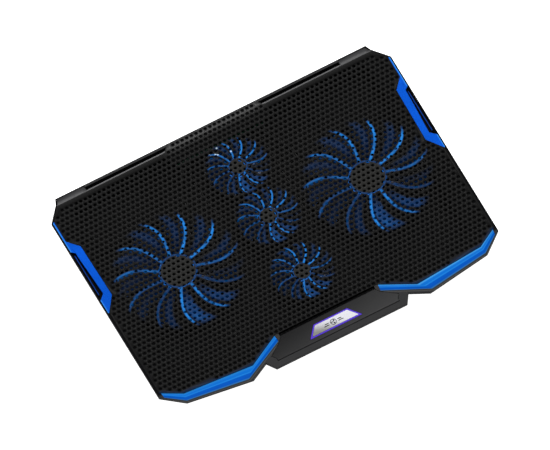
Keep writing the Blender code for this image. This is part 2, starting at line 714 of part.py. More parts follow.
def build_impeller(name, centre, fan):
    """Cup-shaped hub with a bush for the shaft, and its ring of blades."""
    hub = fan["hub"]
    inside = hub - HUB_WALL
    bush_bottom = STATOR_TOP + 2 * GAP
    impeller = turned("impeller_" + name, centre, [
        (hub, HUB_BOTTOM), (hub, HUB_TOP - HUB_CHAMFER), (hub - HUB_CHAMFER, HUB_TOP), (HUB_VENT, HUB_TOP),
        (HUB_VENT, SHAFT_TOP + GAP), (SHAFT_SEAT, SHAFT_TOP + GAP), (SHAFT_SEAT, bush_bottom),
        (SHAFT_SEAT + BUSH_WALL, bush_bottom), (SHAFT_SEAT + BUSH_WALL, HUB_TOP - HUB_WALL),
        (inside, HUB_TOP - HUB_WALL), (inside, HUB_BOTTOM)], 24)
    starts = [BLADE_START + 360 * k / BLADES for k in range(BLADES)]
    blades = [loft("blade", blade_loops(centre, fan, start)) for start in starts]
    join(impeller, merged("blades_" + name, blades))
    pivot_at(impeller, (*centre, FAN_BASE))
    paint(impeller, "clear_blue")


# ================================================================ rear controls
def build_rear_panel():
    panel = extruded_x("rear_panel", [
        (PANEL_BACK, PARTING + GAP), (PANEL_SHELF_REAR, PARTING + GAP), (PANEL_SHELF_REAR, PANEL_SHELF_TOP),
        (PANEL_FACE, PANEL_SHELF_TOP), (PANEL_FACE, SKIN_BOTTOM - GAP), (PANEL_BACK, SKIN_BOTTOM - GAP)],
        -PANEL_HALF + GAP, PANEL_HALF - GAP)
    openings = {"usb_hole_" + side: (x, USB_WIDTH / 2, USB_BASE, USB_TOP) for side, x in USB_CENTRES.items()}
    openings["dial_hole"] = (DIAL_X, DIAL_RADIUS, DIAL_BOTTOM - GAP, DIAL_TOP + GAP)
    openings["button_hole"] = (BUTTON_X, BUTTON_HALF, BUTTON_BOTTOM, BUTTON_TOP)
    for name, (x, half, bottom, top) in openings.items():
        cut(panel, box(name, (x - half - GAP, BOARD_REAR, bottom - GAP),
                       (x + half + GAP, BEHIND, top + GAP)))
    paint(panel, "black_plastic")


def build_usb_port(side, x):
    half = USB_WIDTH / 2
    shell = box("usb_port_" + side, (x - half, USB_FRONT, USB_BASE), (x + half, USB_MOUTH, USB_TOP))
    cut(shell, box("usb_cavity_" + side, (x - half + USB_WALL, USB_CAVITY_FRONT, USB_BASE + USB_WALL),
                   (x + half - USB_WALL, BEHIND, USB_TOP - USB_WALL)))
    low, high = USB_TONGUE
    join(shell, box("usb_tongue_" + side, (x + low[0], *low[1:]), (x + high[0], *high[1:])))
    paint(shell, "steel")


def build_controls():
    board = box("control_board", (-BOARD_HALF, BOARD_FRONT, BOARD_BOTTOM),
                (BOARD_HALF, BOARD_REAR, BOARD_TOP))
    paint(board, "board_green")

    bore = DIAL_STEM_RADIUS + RUNNING_GAP
    dial = turned("speed_dial", (DIAL_X, DIAL_Y), [
        (DIAL_RADIUS - DIAL_EDGE, DIAL_BOTTOM), (DIAL_RADIUS, DIAL_BOTTOM + DIAL_EDGE),
        (DIAL_RADIUS, DIAL_TOP - DIAL_EDGE), (DIAL_RADIUS - DIAL_EDGE, DIAL_TOP),
        (bore, DIAL_TOP), (bore, DIAL_BOTTOM)], 24)
    smooth(dial)
    pivot_at(dial, (DIAL_X, DIAL_Y, DIAL_BOTTOM))
    paint(dial, "black_plastic")

    pot = box("dial_potentiometer", (DIAL_X - POT_HALF, POT_FRONT, BOARD_TOP + GAP),
              (DIAL_X + POT_HALF, POT_REAR, DIAL_BOTTOM - GAP))
    join(pot, disc("pot_stem", (DIAL_X, DIAL_Y), DIAL_STEM_RADIUS, DIAL_BOTTOM - 1.0, DIAL_TOP - GAP, 24))
    paint(pot, "black_plastic")

    button = box("light_button", (BUTTON_X - BUTTON_HALF, BUTTON_FRONT, BUTTON_BOTTOM),
                 (BUTTON_X + BUTTON_HALF, BUTTON_REAR, BUTTON_TOP))
    pivot_at(button, (BUTTON_X, PANEL_FACE, (BUTTON_BOTTOM + BUTTON_TOP) / 2))
    paint(button, "black_plastic")

    switch = box("light_switch", (BUTTON_X - SWITCH_HALF, SWITCH_FRONT, BOARD_TOP + GAP),
                 (BUTTON_X + SWITCH_HALF, SWITCH_REAR, SWITCH_TOP))
    paint(switch, "black_plastic")


# ================================================================ feet, pads, screws and wires
def build_rear_foot(side):
    """Fold-out foot with a rubber toe; its rounded rear edge turns on a cross pin."""
    centre = SIGN[side] * FOOT_X
    left = centre - FOOT_HALF
    right = centre + FOOT_HALF
    axis = (centre, FOOT_AXIS_Y, FOOT_AXIS_Z)
    nose = [(FOOT_AXIS_Y + y, FOOT_AXIS_Z + z) for y, z in half_circle(FOOT_RADIUS)]
    profile = nose + [(FOOT_FRONT, FOOT_AXIS_Z + FOOT_RADIUS), (FOOT_FRONT, FOOT_AXIS_Z - FOOT_RADIUS)]
    foot = extruded_x("rear_foot_" + side, profile, left, right)
    margin = FOOT_RELIEF_MARGIN
    cut(foot, box("foot_relief_" + side, (left + margin, FOOT_FRONT + margin, FOOT_RELIEF_FLOOR),
                  (right - margin, FOOT_AXIS_Y - margin, ABOVE)))
    cut(foot, cross_rod("foot_bore_" + side, centre, FOOT_HALF + 1.0, FOOT_AXIS_Y, FOOT_AXIS_Z,
                        FOOT_PIN_RADIUS + RUNNING_GAP))
    pivot_at(foot, axis)
    paint(foot, "black_plastic")

    low = FOOT_AXIS_Z - TOE_HALF_HEIGHT
    high = FOOT_AXIS_Z + TOE_HALF_HEIGHT
    rear = FOOT_FRONT - GAP
    toe = extruded_x("foot_toe_" + side, [
        (rear, low), (rear, high), (TOE_FRONT + TOE_CHAMFER, high), (TOE_FRONT, high - TOE_CHAMFER),
        (TOE_FRONT, low + TOE_CHAMFER), (TOE_FRONT + TOE_CHAMFER, low)], left + TOE_INSET, right - TOE_INSET)
    pivot_at(toe, axis)
    paint(toe, "rubber")

    pin = cross_rod("foot_pin_" + side, centre, FOOT_PIN_HALF, FOOT_AXIS_Y, FOOT_AXIS_Z, FOOT_PIN_RADIUS)
    smooth(pin)
    paint(pin, "steel")


def build_fasteners_and_pads():
    for name, centre in PAD_CENTRES.items():
        pad = disc("rubber_pad_" + name, centre, PAD_RADIUS, 0.0, PAD_TOP, 24)
        smooth(pad)
        paint(pad, "rubber")
    for name, centre in SCREW_CENTRES.items():
        screw = turned("case_screw_" + name, centre, SCREW_PROFILE, 12)
        smooth(screw)
        paint(screw, "steel")


def build_wires():
    """Fan leads, from under the control board down to the floor and along it to each fan."""
    for name, path in WIRE_ROUTES.items():
        heights = [WIRE_HIGH, WIRE_HIGH] + [WIRE_LOW] * (len(path) - 2)
        wire = tube("fan_wire_" + name, [(*point, z) for point, z in zip(path, heights)], WIRE_RADIUS)
        paint(wire, "wire")


def build():
    clear_scene()
    build_bottom_shell()
    build_mesh_plate()
    build_top_frame()
    for side in SIGN:
        build_side_trim(side)
        build_front_trim(side)
        build_rear_foot(side)
    build_flap()
    for name, (x, y, fan) in FANS.items():
        build_fan_frame(name, (x, y), fan)
        build_motor(name, (x, y), fan)
        build_impeller(name, (x, y), fan)
    build_rear_panel()
    for side, x in USB_CENTRES.items():
        build_usb_port(side, x)
    build_controls()
    build_fasteners_and_pads()
    build_wires()


build()
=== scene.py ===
import json
import math

import bmesh
import bpy
from mathutils import Matrix, Vector
from mathutils.geometry import delaunay_2d_cdt, intersect_point_line

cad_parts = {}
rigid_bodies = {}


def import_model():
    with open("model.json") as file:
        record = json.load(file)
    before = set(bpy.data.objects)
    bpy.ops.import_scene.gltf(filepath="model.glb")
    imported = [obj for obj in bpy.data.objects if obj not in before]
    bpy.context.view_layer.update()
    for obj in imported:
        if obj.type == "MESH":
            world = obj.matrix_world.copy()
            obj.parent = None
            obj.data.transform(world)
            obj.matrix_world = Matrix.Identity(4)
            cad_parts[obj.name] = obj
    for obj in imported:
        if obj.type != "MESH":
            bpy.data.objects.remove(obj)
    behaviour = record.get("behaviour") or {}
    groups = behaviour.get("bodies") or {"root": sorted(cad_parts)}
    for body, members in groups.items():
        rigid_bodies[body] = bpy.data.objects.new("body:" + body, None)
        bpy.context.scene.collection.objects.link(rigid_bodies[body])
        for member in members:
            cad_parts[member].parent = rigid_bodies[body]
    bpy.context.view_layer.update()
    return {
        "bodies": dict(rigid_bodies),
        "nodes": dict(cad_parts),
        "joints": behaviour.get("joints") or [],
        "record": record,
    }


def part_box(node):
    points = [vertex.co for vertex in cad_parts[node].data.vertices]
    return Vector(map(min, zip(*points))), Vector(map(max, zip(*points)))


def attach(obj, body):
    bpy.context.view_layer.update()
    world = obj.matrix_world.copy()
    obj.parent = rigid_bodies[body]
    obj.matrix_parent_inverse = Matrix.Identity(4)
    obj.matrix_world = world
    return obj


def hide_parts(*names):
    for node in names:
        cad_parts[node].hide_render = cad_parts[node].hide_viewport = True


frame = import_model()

MM = 0.001
WHITE = (1.0, 1.0, 1.0)
BLACK = (0.0, 0.0, 0.0)


# ======== places taken from the frame
def box_of(node):
    """Lowest and highest corner of a CAD node, in millimetres."""
    return [[c / MM for c in corner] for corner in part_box(node)]


# Where the axis of each turning body stands, in millimetres.
AXES = {joint["child"]: [c / MM for c in joint["pos_m"]] for joint in frame["joints"] if "pos_m" in joint}
PLATE_BOX = box_of("mesh_plate")
HUB_BOX = box_of("impeller_left")       # all five impellers have the same height
TRIM_BOX = box_of("front_trim_left")
DIAL_BOX = box_of("speed_dial")
BADGE_BOX = box_of("badge_plate")


# ======== node helpers
GRAIN_DEPTH = 0.2 * MM
MOTTLE_SCALE = 35.0          # slow changes of tone, per metre
GLOSS_SPREAD = 0.06          # how far the roughness wanders to each side


def add(tree, kind, inputs=None, **settings):
    """Add one shader node; an input is either a value or another node's output socket."""
    node = tree.nodes.new("ShaderNode" + kind)
    for key, value in settings.items():
        setattr(node, key, value)
    for key, value in (inputs or {}).items():
        if isinstance(value, bpy.types.NodeSocket):
            tree.links.new(value, node.inputs[key])
        else:
            node.inputs[key].default_value = value
    return node


def new_material(name):
    """A Principled material; returns it with its tree, its shader and object coordinates."""
    material = bpy.data.materials.new(name)
    material.use_nodes = True
    tree = material.node_tree
    place = add(tree, "TexCoord").outputs["Object"]
    return material, tree, tree.nodes["Principled BSDF"], place


def rgba(color):
    return (*color, 1.0)


def shade(color, factor):
    return rgba([min(c * factor, 1.0) for c in color])


def noise(tree, place, scale, detail=2.0, stretch=(1.0, 1.0, 1.0)):
    mapping = add(tree, "Mapping", {"Vector": place, "Scale": stretch})
    return add(tree, "TexNoise", {"Vector": mapping.outputs[0], "Scale": scale, "Detail": detail})


def mixed(tree, factor, first, second):
    """The first colour where factor is 0, the second where it is 1."""
    node = add(tree, "Mix", data_type="RGBA")
    # Inputs 6 and 7 and output 2 are the node's colour sockets.
    for socket, value in ((node.inputs[0], factor), (node.inputs[6], first), (node.inputs[7], second)):
        if isinstance(value, bpy.types.NodeSocket):
            tree.links.new(value, socket)
        else:
            socket.default_value = value
    return node.outputs[2]


def ranged(tree, value, low, high):
    """A value from 0 to 1, spread over low to high."""
    node = add(tree, "MapRange", {"Value": value, "To Min": low, "To Max": high})
    return node.outputs[0]


def math_node(tree, operation, first, second=None):
    inputs = {0: first}
    if second is not None:
        inputs[1] = second
    return add(tree, "Math", inputs, operation=operation).outputs[0]


def chained(tree, operation, values):
    """All the values joined by one operation, such as their product or the greatest of them."""
    result = values[0]
    for value in values[1:]:
        result = math_node(tree, operation, result, value)
    return result


def step_between(tree, value, start, end):
    """0 before start, 1 after end, smooth between; start above end turns it round."""
    node = add(tree, "MapRange", {"Value": value, "From Min": start, "From Max": end},
               interpolation_type="SMOOTHSTEP")
    return node.outputs[0]


def step_at(tree, place, limits):
    """step_between for a coordinate, with its limits in millimetres."""
    return step_between(tree, place, limits[0] * MM, limits[1] * MM)


def coordinates(tree, body=None):
    """X, Y and Z of a point at rest; those of a moving piece need its body."""
    settings = {"object": frame["bodies"][body]} if body else {}
    place = add(tree, "TexCoord", **settings).outputs["Object"]
    return add(tree, "SeparateXYZ", {"Vector": place}).outputs


def ramped(tree, factor, stops, interpolation="LINEAR"):
    """The colour at a factor between (position, colour) stops."""
    ramp = add(tree, "ValToRGB", {"Fac": factor})
    ramp.color_ramp.interpolation = interpolation
    elements = ramp.color_ramp.elements
    while len(elements) < len(stops):
        elements.new(0.5)
    for element, (position, color) in zip(elements, stops):
        element.position = position
        element.color = rgba(color)
    return ramp.outputs[0]


def ramped_along(tree, uv_map, stops):
    """The colour between stops along a UV map's first direction."""
    uv = add(tree, "UVMap", uv_map=uv_map)
    return ramped(tree, add(tree, "SeparateXYZ", {"Vector": uv.outputs[0]}).outputs[0], stops)


def repaint(material, factor, color):
    """Change a material's base colour to another where factor is 1."""
    tree = material.node_tree
    target = tree.nodes["Principled BSDF"].inputs["Base Color"]
    tone = target.links[0].from_socket
    tree.links.new(mixed(tree, factor, tone, rgba(color)), target)


def vary_shine(material, factor, low, high):
    """Spread a material's specular level over low to high."""
    tree = material.node_tree
    level = tree.nodes["Principled BSDF"].inputs["Specular IOR Level"]
    tree.links.new(ranged(tree, factor, low, high), level)


def grained(name, color, roughness, metallic=0.0, specular=0.5, grain=900.0, bump=0.08,
            stretch=(1.0, 1.0, 1.0), mottle=0.12):
    """Moulded or painted surface: fine grain in its relief, with slow changes of tone and gloss."""
    material, tree, shader, place = new_material(name)
    fine = noise(tree, place, grain, 3.0, stretch)
    slow = noise(tree, place, MOTTLE_SCALE, 3.0)
    tone = mixed(tree, slow.outputs[0], shade(color, 1.0 - mottle), shade(color, 1.0 + mottle))
    tree.links.new(tone, shader.inputs["Base Color"])
    gloss = ranged(tree, slow.outputs[0], roughness - GLOSS_SPREAD, roughness + GLOSS_SPREAD)
    tree.links.new(gloss, shader.inputs["Roughness"])
    relief = add(tree, "Bump", {"Height": fine.outputs[0], "Strength": bump, "Distance": GRAIN_DEPTH})
    tree.links.new(relief.outputs[0], shader.inputs["Normal"])
    shader.inputs["Metallic"].default_value = metallic
    shader.inputs["Specular IOR Level"].default_value = specular
    material.diffuse_color = rgba(color)
    return material


def glow(material, color, strength):
    """Make a material shine and return it."""
    shader = material.node_tree.nodes["Principled BSDF"]
    shader.inputs["Emission Color"].default_value = rgba(color)
    shader.inputs["Emission Strength"].default_value = strength
    return material


# ======== mesh helpers
def new_object(name, data):
    """An object in the scene, from its mesh, lamp or camera."""
    item = bpy.data.objects.new(name, data)
    bpy.context.scene.collection.objects.link(item)
    return item


def piece_from(name, vertices, faces, material, body):
    """Make one object from vertices in millimetres and put it on its body."""
    mesh = bpy.data.meshes.new(name)
    mesh.from_pydata([Vector(v) * MM for v in vertices], [], faces)
    mesh.update()
    piece = new_object(name, mesh)
    mesh.materials.append(material)
    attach(piece, body)
    return piece


def outward(piece):
    """Turn all faces outwards."""
    shape = bmesh.new()
    shape.from_mesh(piece.data)
    bmesh.ops.recalc_face_normals(shape, faces=shape.faces)
    shape.to_mesh(piece.data)
    shape.free()


def smooth(piece, angle=35.0):
    """Shade smooth, with edges sharper than angle left sharp."""
    piece.data.shade_smooth()
    piece.data.set_sharp_from_angle(angle=math.radians(angle))


def lofted(size, rings, first=0):
    """Faces of a tube through rings of size vertices each, closed at both ends."""
    faces = []
    for ring in range(rings - 1):
        here = first + ring * size
        there = here + size
        for i in range(size):
            j = (i + 1) % size
            faces.append((here + i, here + j, there + j, there + i))
    ends = (first, first + (rings - 1) * size)
    return faces + [tuple(range(end, end + size)) for end in ends]


def turned(centre, profile, segments):
    """Vertices and faces of a closed (radius, height) profile turned about a vertical axis."""
    vertices = []
    faces = []
    size = len(profile)
    for i in range(segments):
        a = 2 * math.pi * i / segments
        vertices += [(centre[0] + r * math.cos(a), centre[1] + r * math.sin(a), z) for r, z in profile]
        there = ((i + 1) % segments) * size
        for k in range(size):
            n = (k + 1) % size
            faces.append((i * size + k, there + k, there + n, i * size + n))
    return vertices, faces


# ======== perforated plate
PLATE_TOP = PLATE_BOX[1][2]
SHEET = 1.2
HOLE_RADIUS = 1.75
HOLE_SIDES = 12
HOLE_PITCH = 5.18
ROW_PITCH = 5.43
HOLE_MARGIN = 0.25           # least metal between a hole and an edge
BEND = 131.2
BEND_ROUND = 1.0             # half width of the rounded bend
BEND_DROP = 1.7
BEND_FADE = 3.0              # the bend fades in over this width beside the middle tongue
SHEET_REAR = PLATE_BOX[1][1]
SLOT_START = 54.5            # each rear slot's ends, from the middle
SLOT_END = 142.0
SLOT_FRONT = 133.2
TONGUE_REAR = 138.2
HOLES_REAR = 131.5           # outside the middle the holes stop before the bend
# Where the tongue's sheen and the bend's painted highlight line set in: along Y, then by the distance from
# the middle.
TONGUE_SHEEN = ((BEND - 7.0, TONGUE_REAR), (SLOT_START + 4.0, SLOT_START - 8.0))
BEND_HIGHLIGHT_LINE = ((SLOT_FRONT - 1.3, SLOT_FRONT - 0.7), (SLOT_END, SLOT_END - 3.0))
FRONT_TRIM_INNER = [(58.0, -106.1), (92.0, -125.1), (166.0, -119.1), (185.4, -107.7)]
TRIM_GLOW = (0.0, 0.018, 0.07)
TRIM_GLOW_REACH = 3.5        # how far the lit front trims colour the plate beside them
TRIM_GLOW_START = 60.0
PLATE_HALF = [
    (49.5, TONGUE_REAR), (SLOT_START, SLOT_FRONT), (SLOT_END, SLOT_FRONT), (SLOT_END, SHEET_REAR),
    (172.3, SHEET_REAR), (174.7, 133.1), (186.6, 118.0), (186.6, 91.4), (176.3, 79.4), (175.2, 15.7),
    (187.6, -2.0), (188.0, -106.1), (185.7, -107.4), (166.1, -118.8), (92.2, -124.8), (57.2, -105.3),
]


def mirrored(half):
    """The whole outline from its right half."""
    return half + [(-x, y) for x, y in reversed(half)]


def inside(point, outline):
    """Whether a ray from the point along +X crosses the outline an odd number of times."""
    x, y = point
    hit = False
    for (x1, y1), (x2, y2) in zip(outline, outline[1:] + outline[:1]):
        if (y1 > y) != (y2 > y) and x < (x2 - x1) * (y - y1) / (y2 - y1) + x1:
            hit = not hit
    return hit


def line_distance(point, line):
    """Least distance from a point to a line of several straight pieces."""
    here = Vector(point)
    best = math.inf
    for start, end in zip(line, line[1:]):
        nearest, share = intersect_point_line(here, Vector(start), Vector(end))
        if share < 0.0:
            nearest = Vector(start)
        if share > 1.0:
            nearest = Vector(end)
        best = min(best, (here - nearest.to_2d()).length)
    return best


def hole_centres(outline):
    """Staggered rows along X, kept clear of every edge and of the bend."""
    centres = []
    rows = math.ceil(PLATE_BOX[1][1] / ROW_PITCH)
    columns = math.ceil(PLATE_BOX[1][0] / HOLE_PITCH)
    for row in range(-rows, rows + 1):
        shift = HOLE_PITCH / 2 if row % 2 else 0.0
        for column in range(-columns, columns + 1):
            point = (column * HOLE_PITCH + shift, row * ROW_PITCH)
            if abs(point[0]) > SLOT_START - HOLE_RADIUS and point[1] > HOLES_REAR - HOLE_RADIUS:
                continue
            room = line_distance(point, outline + outline[:1]) - HOLE_RADIUS
            if inside(point, outline) and room > HOLE_MARGIN:
                centres.append(point)
    return centres


def bend_drop(x, y):
    """How far the sheet lies below its flat field: a rounded bend, faded out beside the middle tongue."""
    slope = BEND_DROP / (SHEET_REAR - BEND)
    along = y - BEND
    if along <= -BEND_ROUND:
        fall = 0.0
    elif along < BEND_ROUND:
        fall = slope * (along + BEND_ROUND) ** 2 / (4 * BEND_ROUND)
    else:
        fall = slope * along
    side = min(max((abs(x) - SLOT_START) / BEND_FADE, 0.0), 1.0)
    return fall * side


def plate_material():
    """Black powder coat that catches more light on the tongue's rear edge."""
    material = grained("black_powder_coat", (0.006, 0.006, 0.006), 0.45, grain=1400.0, bump=0.12)
    tree = material.node_tree
    x, y, _ = coordinates(tree)
    rear = step_at(tree, y, TONGUE_SHEEN[0])
    middle = step_at(tree, math_node(tree, "ABSOLUTE", x), TONGUE_SHEEN[1])
    vary_shine(material, math_node(tree, "MULTIPLY", rear, middle), 0.08, 0.5)
    return material


def bend_material():
    """The plate's black paint lightened to satin grey on the bent rear strip as painted highlight, with a
    brighter painted highlight line along the front of the rear slots.
    """
    # Painted highlight: the strip's grey stands for the plate's black paint catching light on the bend.
    material = grained("bend_strip_painted_highlight", (0.03, 0.03, 0.032), 0.45, specular=0.4, grain=1400.0, bump=0.06)
    tree = material.node_tree
    x, y, _ = coordinates(tree)
    along = step_at(tree, y, BEND_HIGHLIGHT_LINE[0])
    beside = step_at(tree, math_node(tree, "ABSOLUTE", x), BEND_HIGHLIGHT_LINE[1])
    # Painted highlight: a bright line along the front edge of the rear slots, where the bend catches the
    # light.
    repaint(material, math_node(tree, "MULTIPLY", along, beside), (0.085, 0.085, 0.088))
    return material


def in_hole(x, y, taken):
    """Whether a point lies in one of the holes, whose (half column, row) places are in taken."""
    row = round(y / ROW_PITCH)
    columns = (math.floor(x / (HOLE_PITCH / 2)), math.ceil(x / (HOLE_PITCH / 2)))
    near = [(column, r) for r in (row - 1, row, row + 1) for column in columns if (column, r) in taken]
    return any(math.hypot(x - column * HOLE_PITCH / 2, y - r * ROW_PITCH) < HOLE_RADIUS * 0.99
               for column, r in near)


def perforated_sheet(outline):
    """Points and faces of the flat sheet with its holes cut out."""
    centres = hole_centres(outline)
    points = list(outline)
    edges = [(i, (i + 1) % len(outline)) for i in range(len(outline))]
    turns = [2 * math.pi * k / HOLE_SIDES for k in range(HOLE_SIDES)]
    for x, y in centres:
        first = len(points)
        points += [(x + HOLE_RADIUS * math.cos(a), y + HOLE_RADIUS * math.sin(a)) for a in turns]
        edges += [(first + i, first + (i + 1) % HOLE_SIDES) for i in range(HOLE_SIDES)]
    flat, _, faces, _, _, _ = delaunay_2d_cdt([Vector(p) for p in points], edges, [], 1, 1e-5)
    taken = {(round(x / (HOLE_PITCH / 2)), round(y / ROW_PITCH)) for x, y in centres}
    kept = []
    for face in faces:
        x = sum(flat[i].x for i in face) / len(face)
        y = sum(flat[i].y for i in face) / len(face)
        if not in_hole(x, y, taken):
            kept.append(face)
    return flat, kept


def bend_sheet(plate):
    """Cut the sheet along its bend, lower it there and give the bent strip the second material."""
    shape = bmesh.new()
    shape.from_mesh(plate.data)
    fade_end = SLOT_START + BEND_FADE
    cuts = [((0.0, BEND + k * BEND_ROUND / 2), (0.0, 1.0)) for k in range(-2, 3)]
    cuts += [((x, 0.0), (1.0, 0.0)) for x in (-fade_end, -SLOT_START, SLOT_START, fade_end)]
    for place, normal in cuts:
        bmesh.ops.bisect_plane(shape, geom=shape.verts[:] + shape.edges[:] + shape.faces[:],
                               plane_co=Vector((*place, 0.0)) * MM, plane_no=(*normal, 0.0), dist=1e-7)
    for vertex in shape.verts:
        vertex.co.z -= bend_drop(vertex.co.x / MM, vertex.co.y / MM) * MM
    for face in shape.faces:
        middle = face.calc_center_median() / MM
        if abs(middle.x) > SLOT_START and middle.y > HOLES_REAR:
            face.material_index = 1
        face.smooth = True
    loose = [vertex for vertex in shape.verts if not vertex.link_faces]
    bmesh.ops.delete(shape, geom=loose, context="VERTS")
    bmesh.ops.recalc_face_normals(shape, faces=shape.faces)
    if sum(face.normal.z for face in shape.faces) < 0:
        bmesh.ops.reverse_faces(shape, faces=shape.faces)
    shape.to_mesh(plate.data)
    shape.free()


def mark_trim_light(plate):
    """Store how strongly the lit front trims colour each point of the plate."""
    beside = plate.data.attributes.new("trim_light", "FLOAT", "POINT")
    for vertex in plate.data.vertices:
        place = (abs(vertex.co.x) / MM, vertex.co.y / MM)
        if place[0] > TRIM_GLOW_START:
            distance = line_distance(place, FRONT_TRIM_INNER)
            beside.data[vertex.index].value = max(1.0 - distance / TRIM_GLOW_REACH, 0.0) ** 2


def build_plate(material, strip_material):
    """The perforated sheet with real holes, bent down behind, that stands for the CAD plate."""
    flat, faces = perforated_sheet(mirrored(PLATE_HALF))
    plate = piece_from("perforated_plate", [(p.x, p.y, PLATE_TOP) for p in flat], faces,
                       material, "base")
    plate.data.materials.append(strip_material)
    bend_sheet(plate)
    mark_trim_light(plate)
    thickness = plate.modifiers.new("thickness", "SOLIDIFY")
    thickness.thickness = SHEET * MM
    thickness.offset = -1.0
    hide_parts("mesh_plate")


# ======== fans
BLADES = 11
BLADE_STATIONS = 9
BLADE_STEPS = 10
BLADE_CHORD = math.radians(20)
BLADE_THICKNESS = 0.9
BLADE_TOP = 20.0
BLADE_BOTTOM = 10.4
BLADE_PITCH = 360.0 / BLADES
BLADE_START = 19.1           # degrees from +X to the first leading edge, where it runs straight out
SWEEP_CENTRE = 0.576         # share of the tip radius where the leading edge runs straight out
SWEEP = 47.0                 # degrees of forward sweep per squared share of the tip radius
HUB_WALL = 1.4
HUB_BOTTOM, HUB_TOP = HUB_BOX[0][2], HUB_BOX[1][2]
HUB_SIDE_TOP = HUB_TOP - 1.6
HUB_ROUND = 1.2              # radius of the rounding round the hub's top
HUB_DISH = (0.62, 0.58)      # shares of the hub's radius where the shallow dish in its top begins and ends
HUB_DISH_DEPTH = 0.35
HUB_EYE = 0.05               # keeps the turned profile off its axis
HUB_SEGMENTS = 48
# The lit ring's profile: (outwards from the hub, up from its top).
RING_PROFILE = ((0.25, -2.8), (0.9, -2.6), (0.9, -1.4), (0.25, -1.2))
# Radii of the blade tips, of the hub and of the light on the plate, and how much wider its lines are.
LARGE_FAN = {"tip": 59.4, "hub": 17.6, "light": 60.3, "spread": 1.0}
SMALL_FAN = {"tip": 29.4, "hub": 8.8, "light": 29.9, "spread": 1.3}
FANS = {"left": LARGE_FAN, "right": LARGE_FAN, "rear": SMALL_FAN, "middle": SMALL_FAN, "front": SMALL_FAN}
# Light on each blade, counter-clockwise from the first: its leading edge, then its broad face.
EDGE_LIGHT = (1.0, 1.0, 0.9, 0.8, 0.6, 0.5, 0.35, 0.95, 0.85, 0.3, 0.6)
FACE_LIGHT = (0.35, 0.35, 0.4, 0.3, 0.12, 0.12, 0.35, 1.0, 0.65, 0.12, 0.3)
# (share of the chord, glow) across a blade: bright leading edge, dark middle, dim low edge.
CHORD_GLOW = [(0.0, 1.0), (0.09, 1.0), (0.15, 0.05), (0.5, 0.02), (0.74, 0.13), (0.88, 0.06), (1.0, 0.16)]
BLADE_GLOW = 0.12


def blade_angle(share):
    """Angle of the leading edge, in radians, at a share of the tip radius."""
    return math.radians(BLADE_START + SWEEP * (share - SWEEP_CENTRE) ** 2)


def build_blades(name, material):
    """Eleven curved blades in one mesh; UV runs along the chord and from root to tip."""
    fan = FANS[name]
    x0, y0, _ = AXES["rotor_" + name]
    vertices = []
    faces = []
    marks = []
    root = fan["hub"] - HUB_WALL / 2
    columns = BLADE_STEPS + 1
    for blade in range(BLADES):
        start = 2 * math.pi * blade / BLADES
        base = len(vertices)
        for sink in (0.0, 1.0):
            for k in range(BLADE_STATIONS):
                share = k / (BLADE_STATIONS - 1)
                radius = root + (fan["tip"] - root) * share
                for step in range(columns):
                    along = step / BLADE_STEPS
                    a = start + blade_angle(radius / fan["tip"]) + BLADE_CHORD * along
                    thin = BLADE_THICKNESS * (1.0 - 0.5 * along)
                    z = BLADE_TOP - (BLADE_TOP - BLADE_BOTTOM) * along - sink * thin
                    vertices.append((x0 + radius * math.cos(a), y0 + radius * math.sin(a), z))
                    marks.append((along, share))
        layer = BLADE_STATIONS * columns
        for k in range(BLADE_STATIONS - 1):
            for step in range(BLADE_STEPS):
                i = base + k * columns + step
                quad = (i, i + columns, i + columns + 1, i + 1)
                faces.append(quad)
                faces.append(tuple(j + layer for j in reversed(quad)))
        rim = [base + step for step in range(columns)]
        rim += [base + k * columns + BLADE_STEPS for k in range(1, BLADE_STATIONS)]
        rim += [base + (BLADE_STATIONS - 1) * columns + step for step in reversed(range(BLADE_STEPS))]
        rim += [base + k * columns for k in reversed(range(1, BLADE_STATIONS - 1))]
        for here, there in zip(rim, rim[1:] + rim[:1]):
            faces.append((here, there, there + layer, here + layer))
    blades = piece_from("lit_blades_" + name, vertices, faces, material, "rotor_" + name)
    layer = blades.data.uv_layers.new(name="blade")
    for loop in blades.data.loops:
        layer.data[loop.index].uv = marks[loop.vertex_index]
    outward(blades)
    smooth(blades, 50.0)
    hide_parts("impeller_" + name)


def build_hub(name, material, ring_material):
    """Hollow hub cap with a shallow dish in its top, and the lit ring round it."""
    x0, y0, _ = AXES["rotor_" + name]
    hub = FANS[name]["hub"]
    inner = hub - HUB_WALL
    dish = HUB_TOP - HUB_DISH_DEPTH
    profile = [(hub, HUB_BOTTOM), (hub, HUB_SIDE_TOP)]
    profile += [(hub - HUB_ROUND * (1.0 - math.cos(a)), HUB_TOP - HUB_ROUND * (1.0 - math.sin(a)))
                for a in (math.radians(22.5 * k) for k in range(1, 5))]
    profile += [(hub * HUB_DISH[0], HUB_TOP), (hub * HUB_DISH[1], dish), (HUB_EYE, dish)]
    profile += [(HUB_EYE, HUB_TOP - HUB_WALL), (inner, HUB_TOP - HUB_WALL), (inner, HUB_BOTTOM)]
    vertices, faces = turned((x0, y0), profile, HUB_SEGMENTS)
    cap = piece_from("fan_hub_" + name, vertices, faces, material, "rotor_" + name)
    outward(cap)
    smooth(cap)
    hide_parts("impeller_" + name)
    ring = [(hub + out, HUB_TOP + up) for out, up in RING_PROFILE]
    vertices, faces = turned((x0, y0), ring, HUB_SEGMENTS)
    band = piece_from("hub_light_" + name, vertices, faces, ring_material, "rotor_" + name)
    outward(band)
    smooth(band)


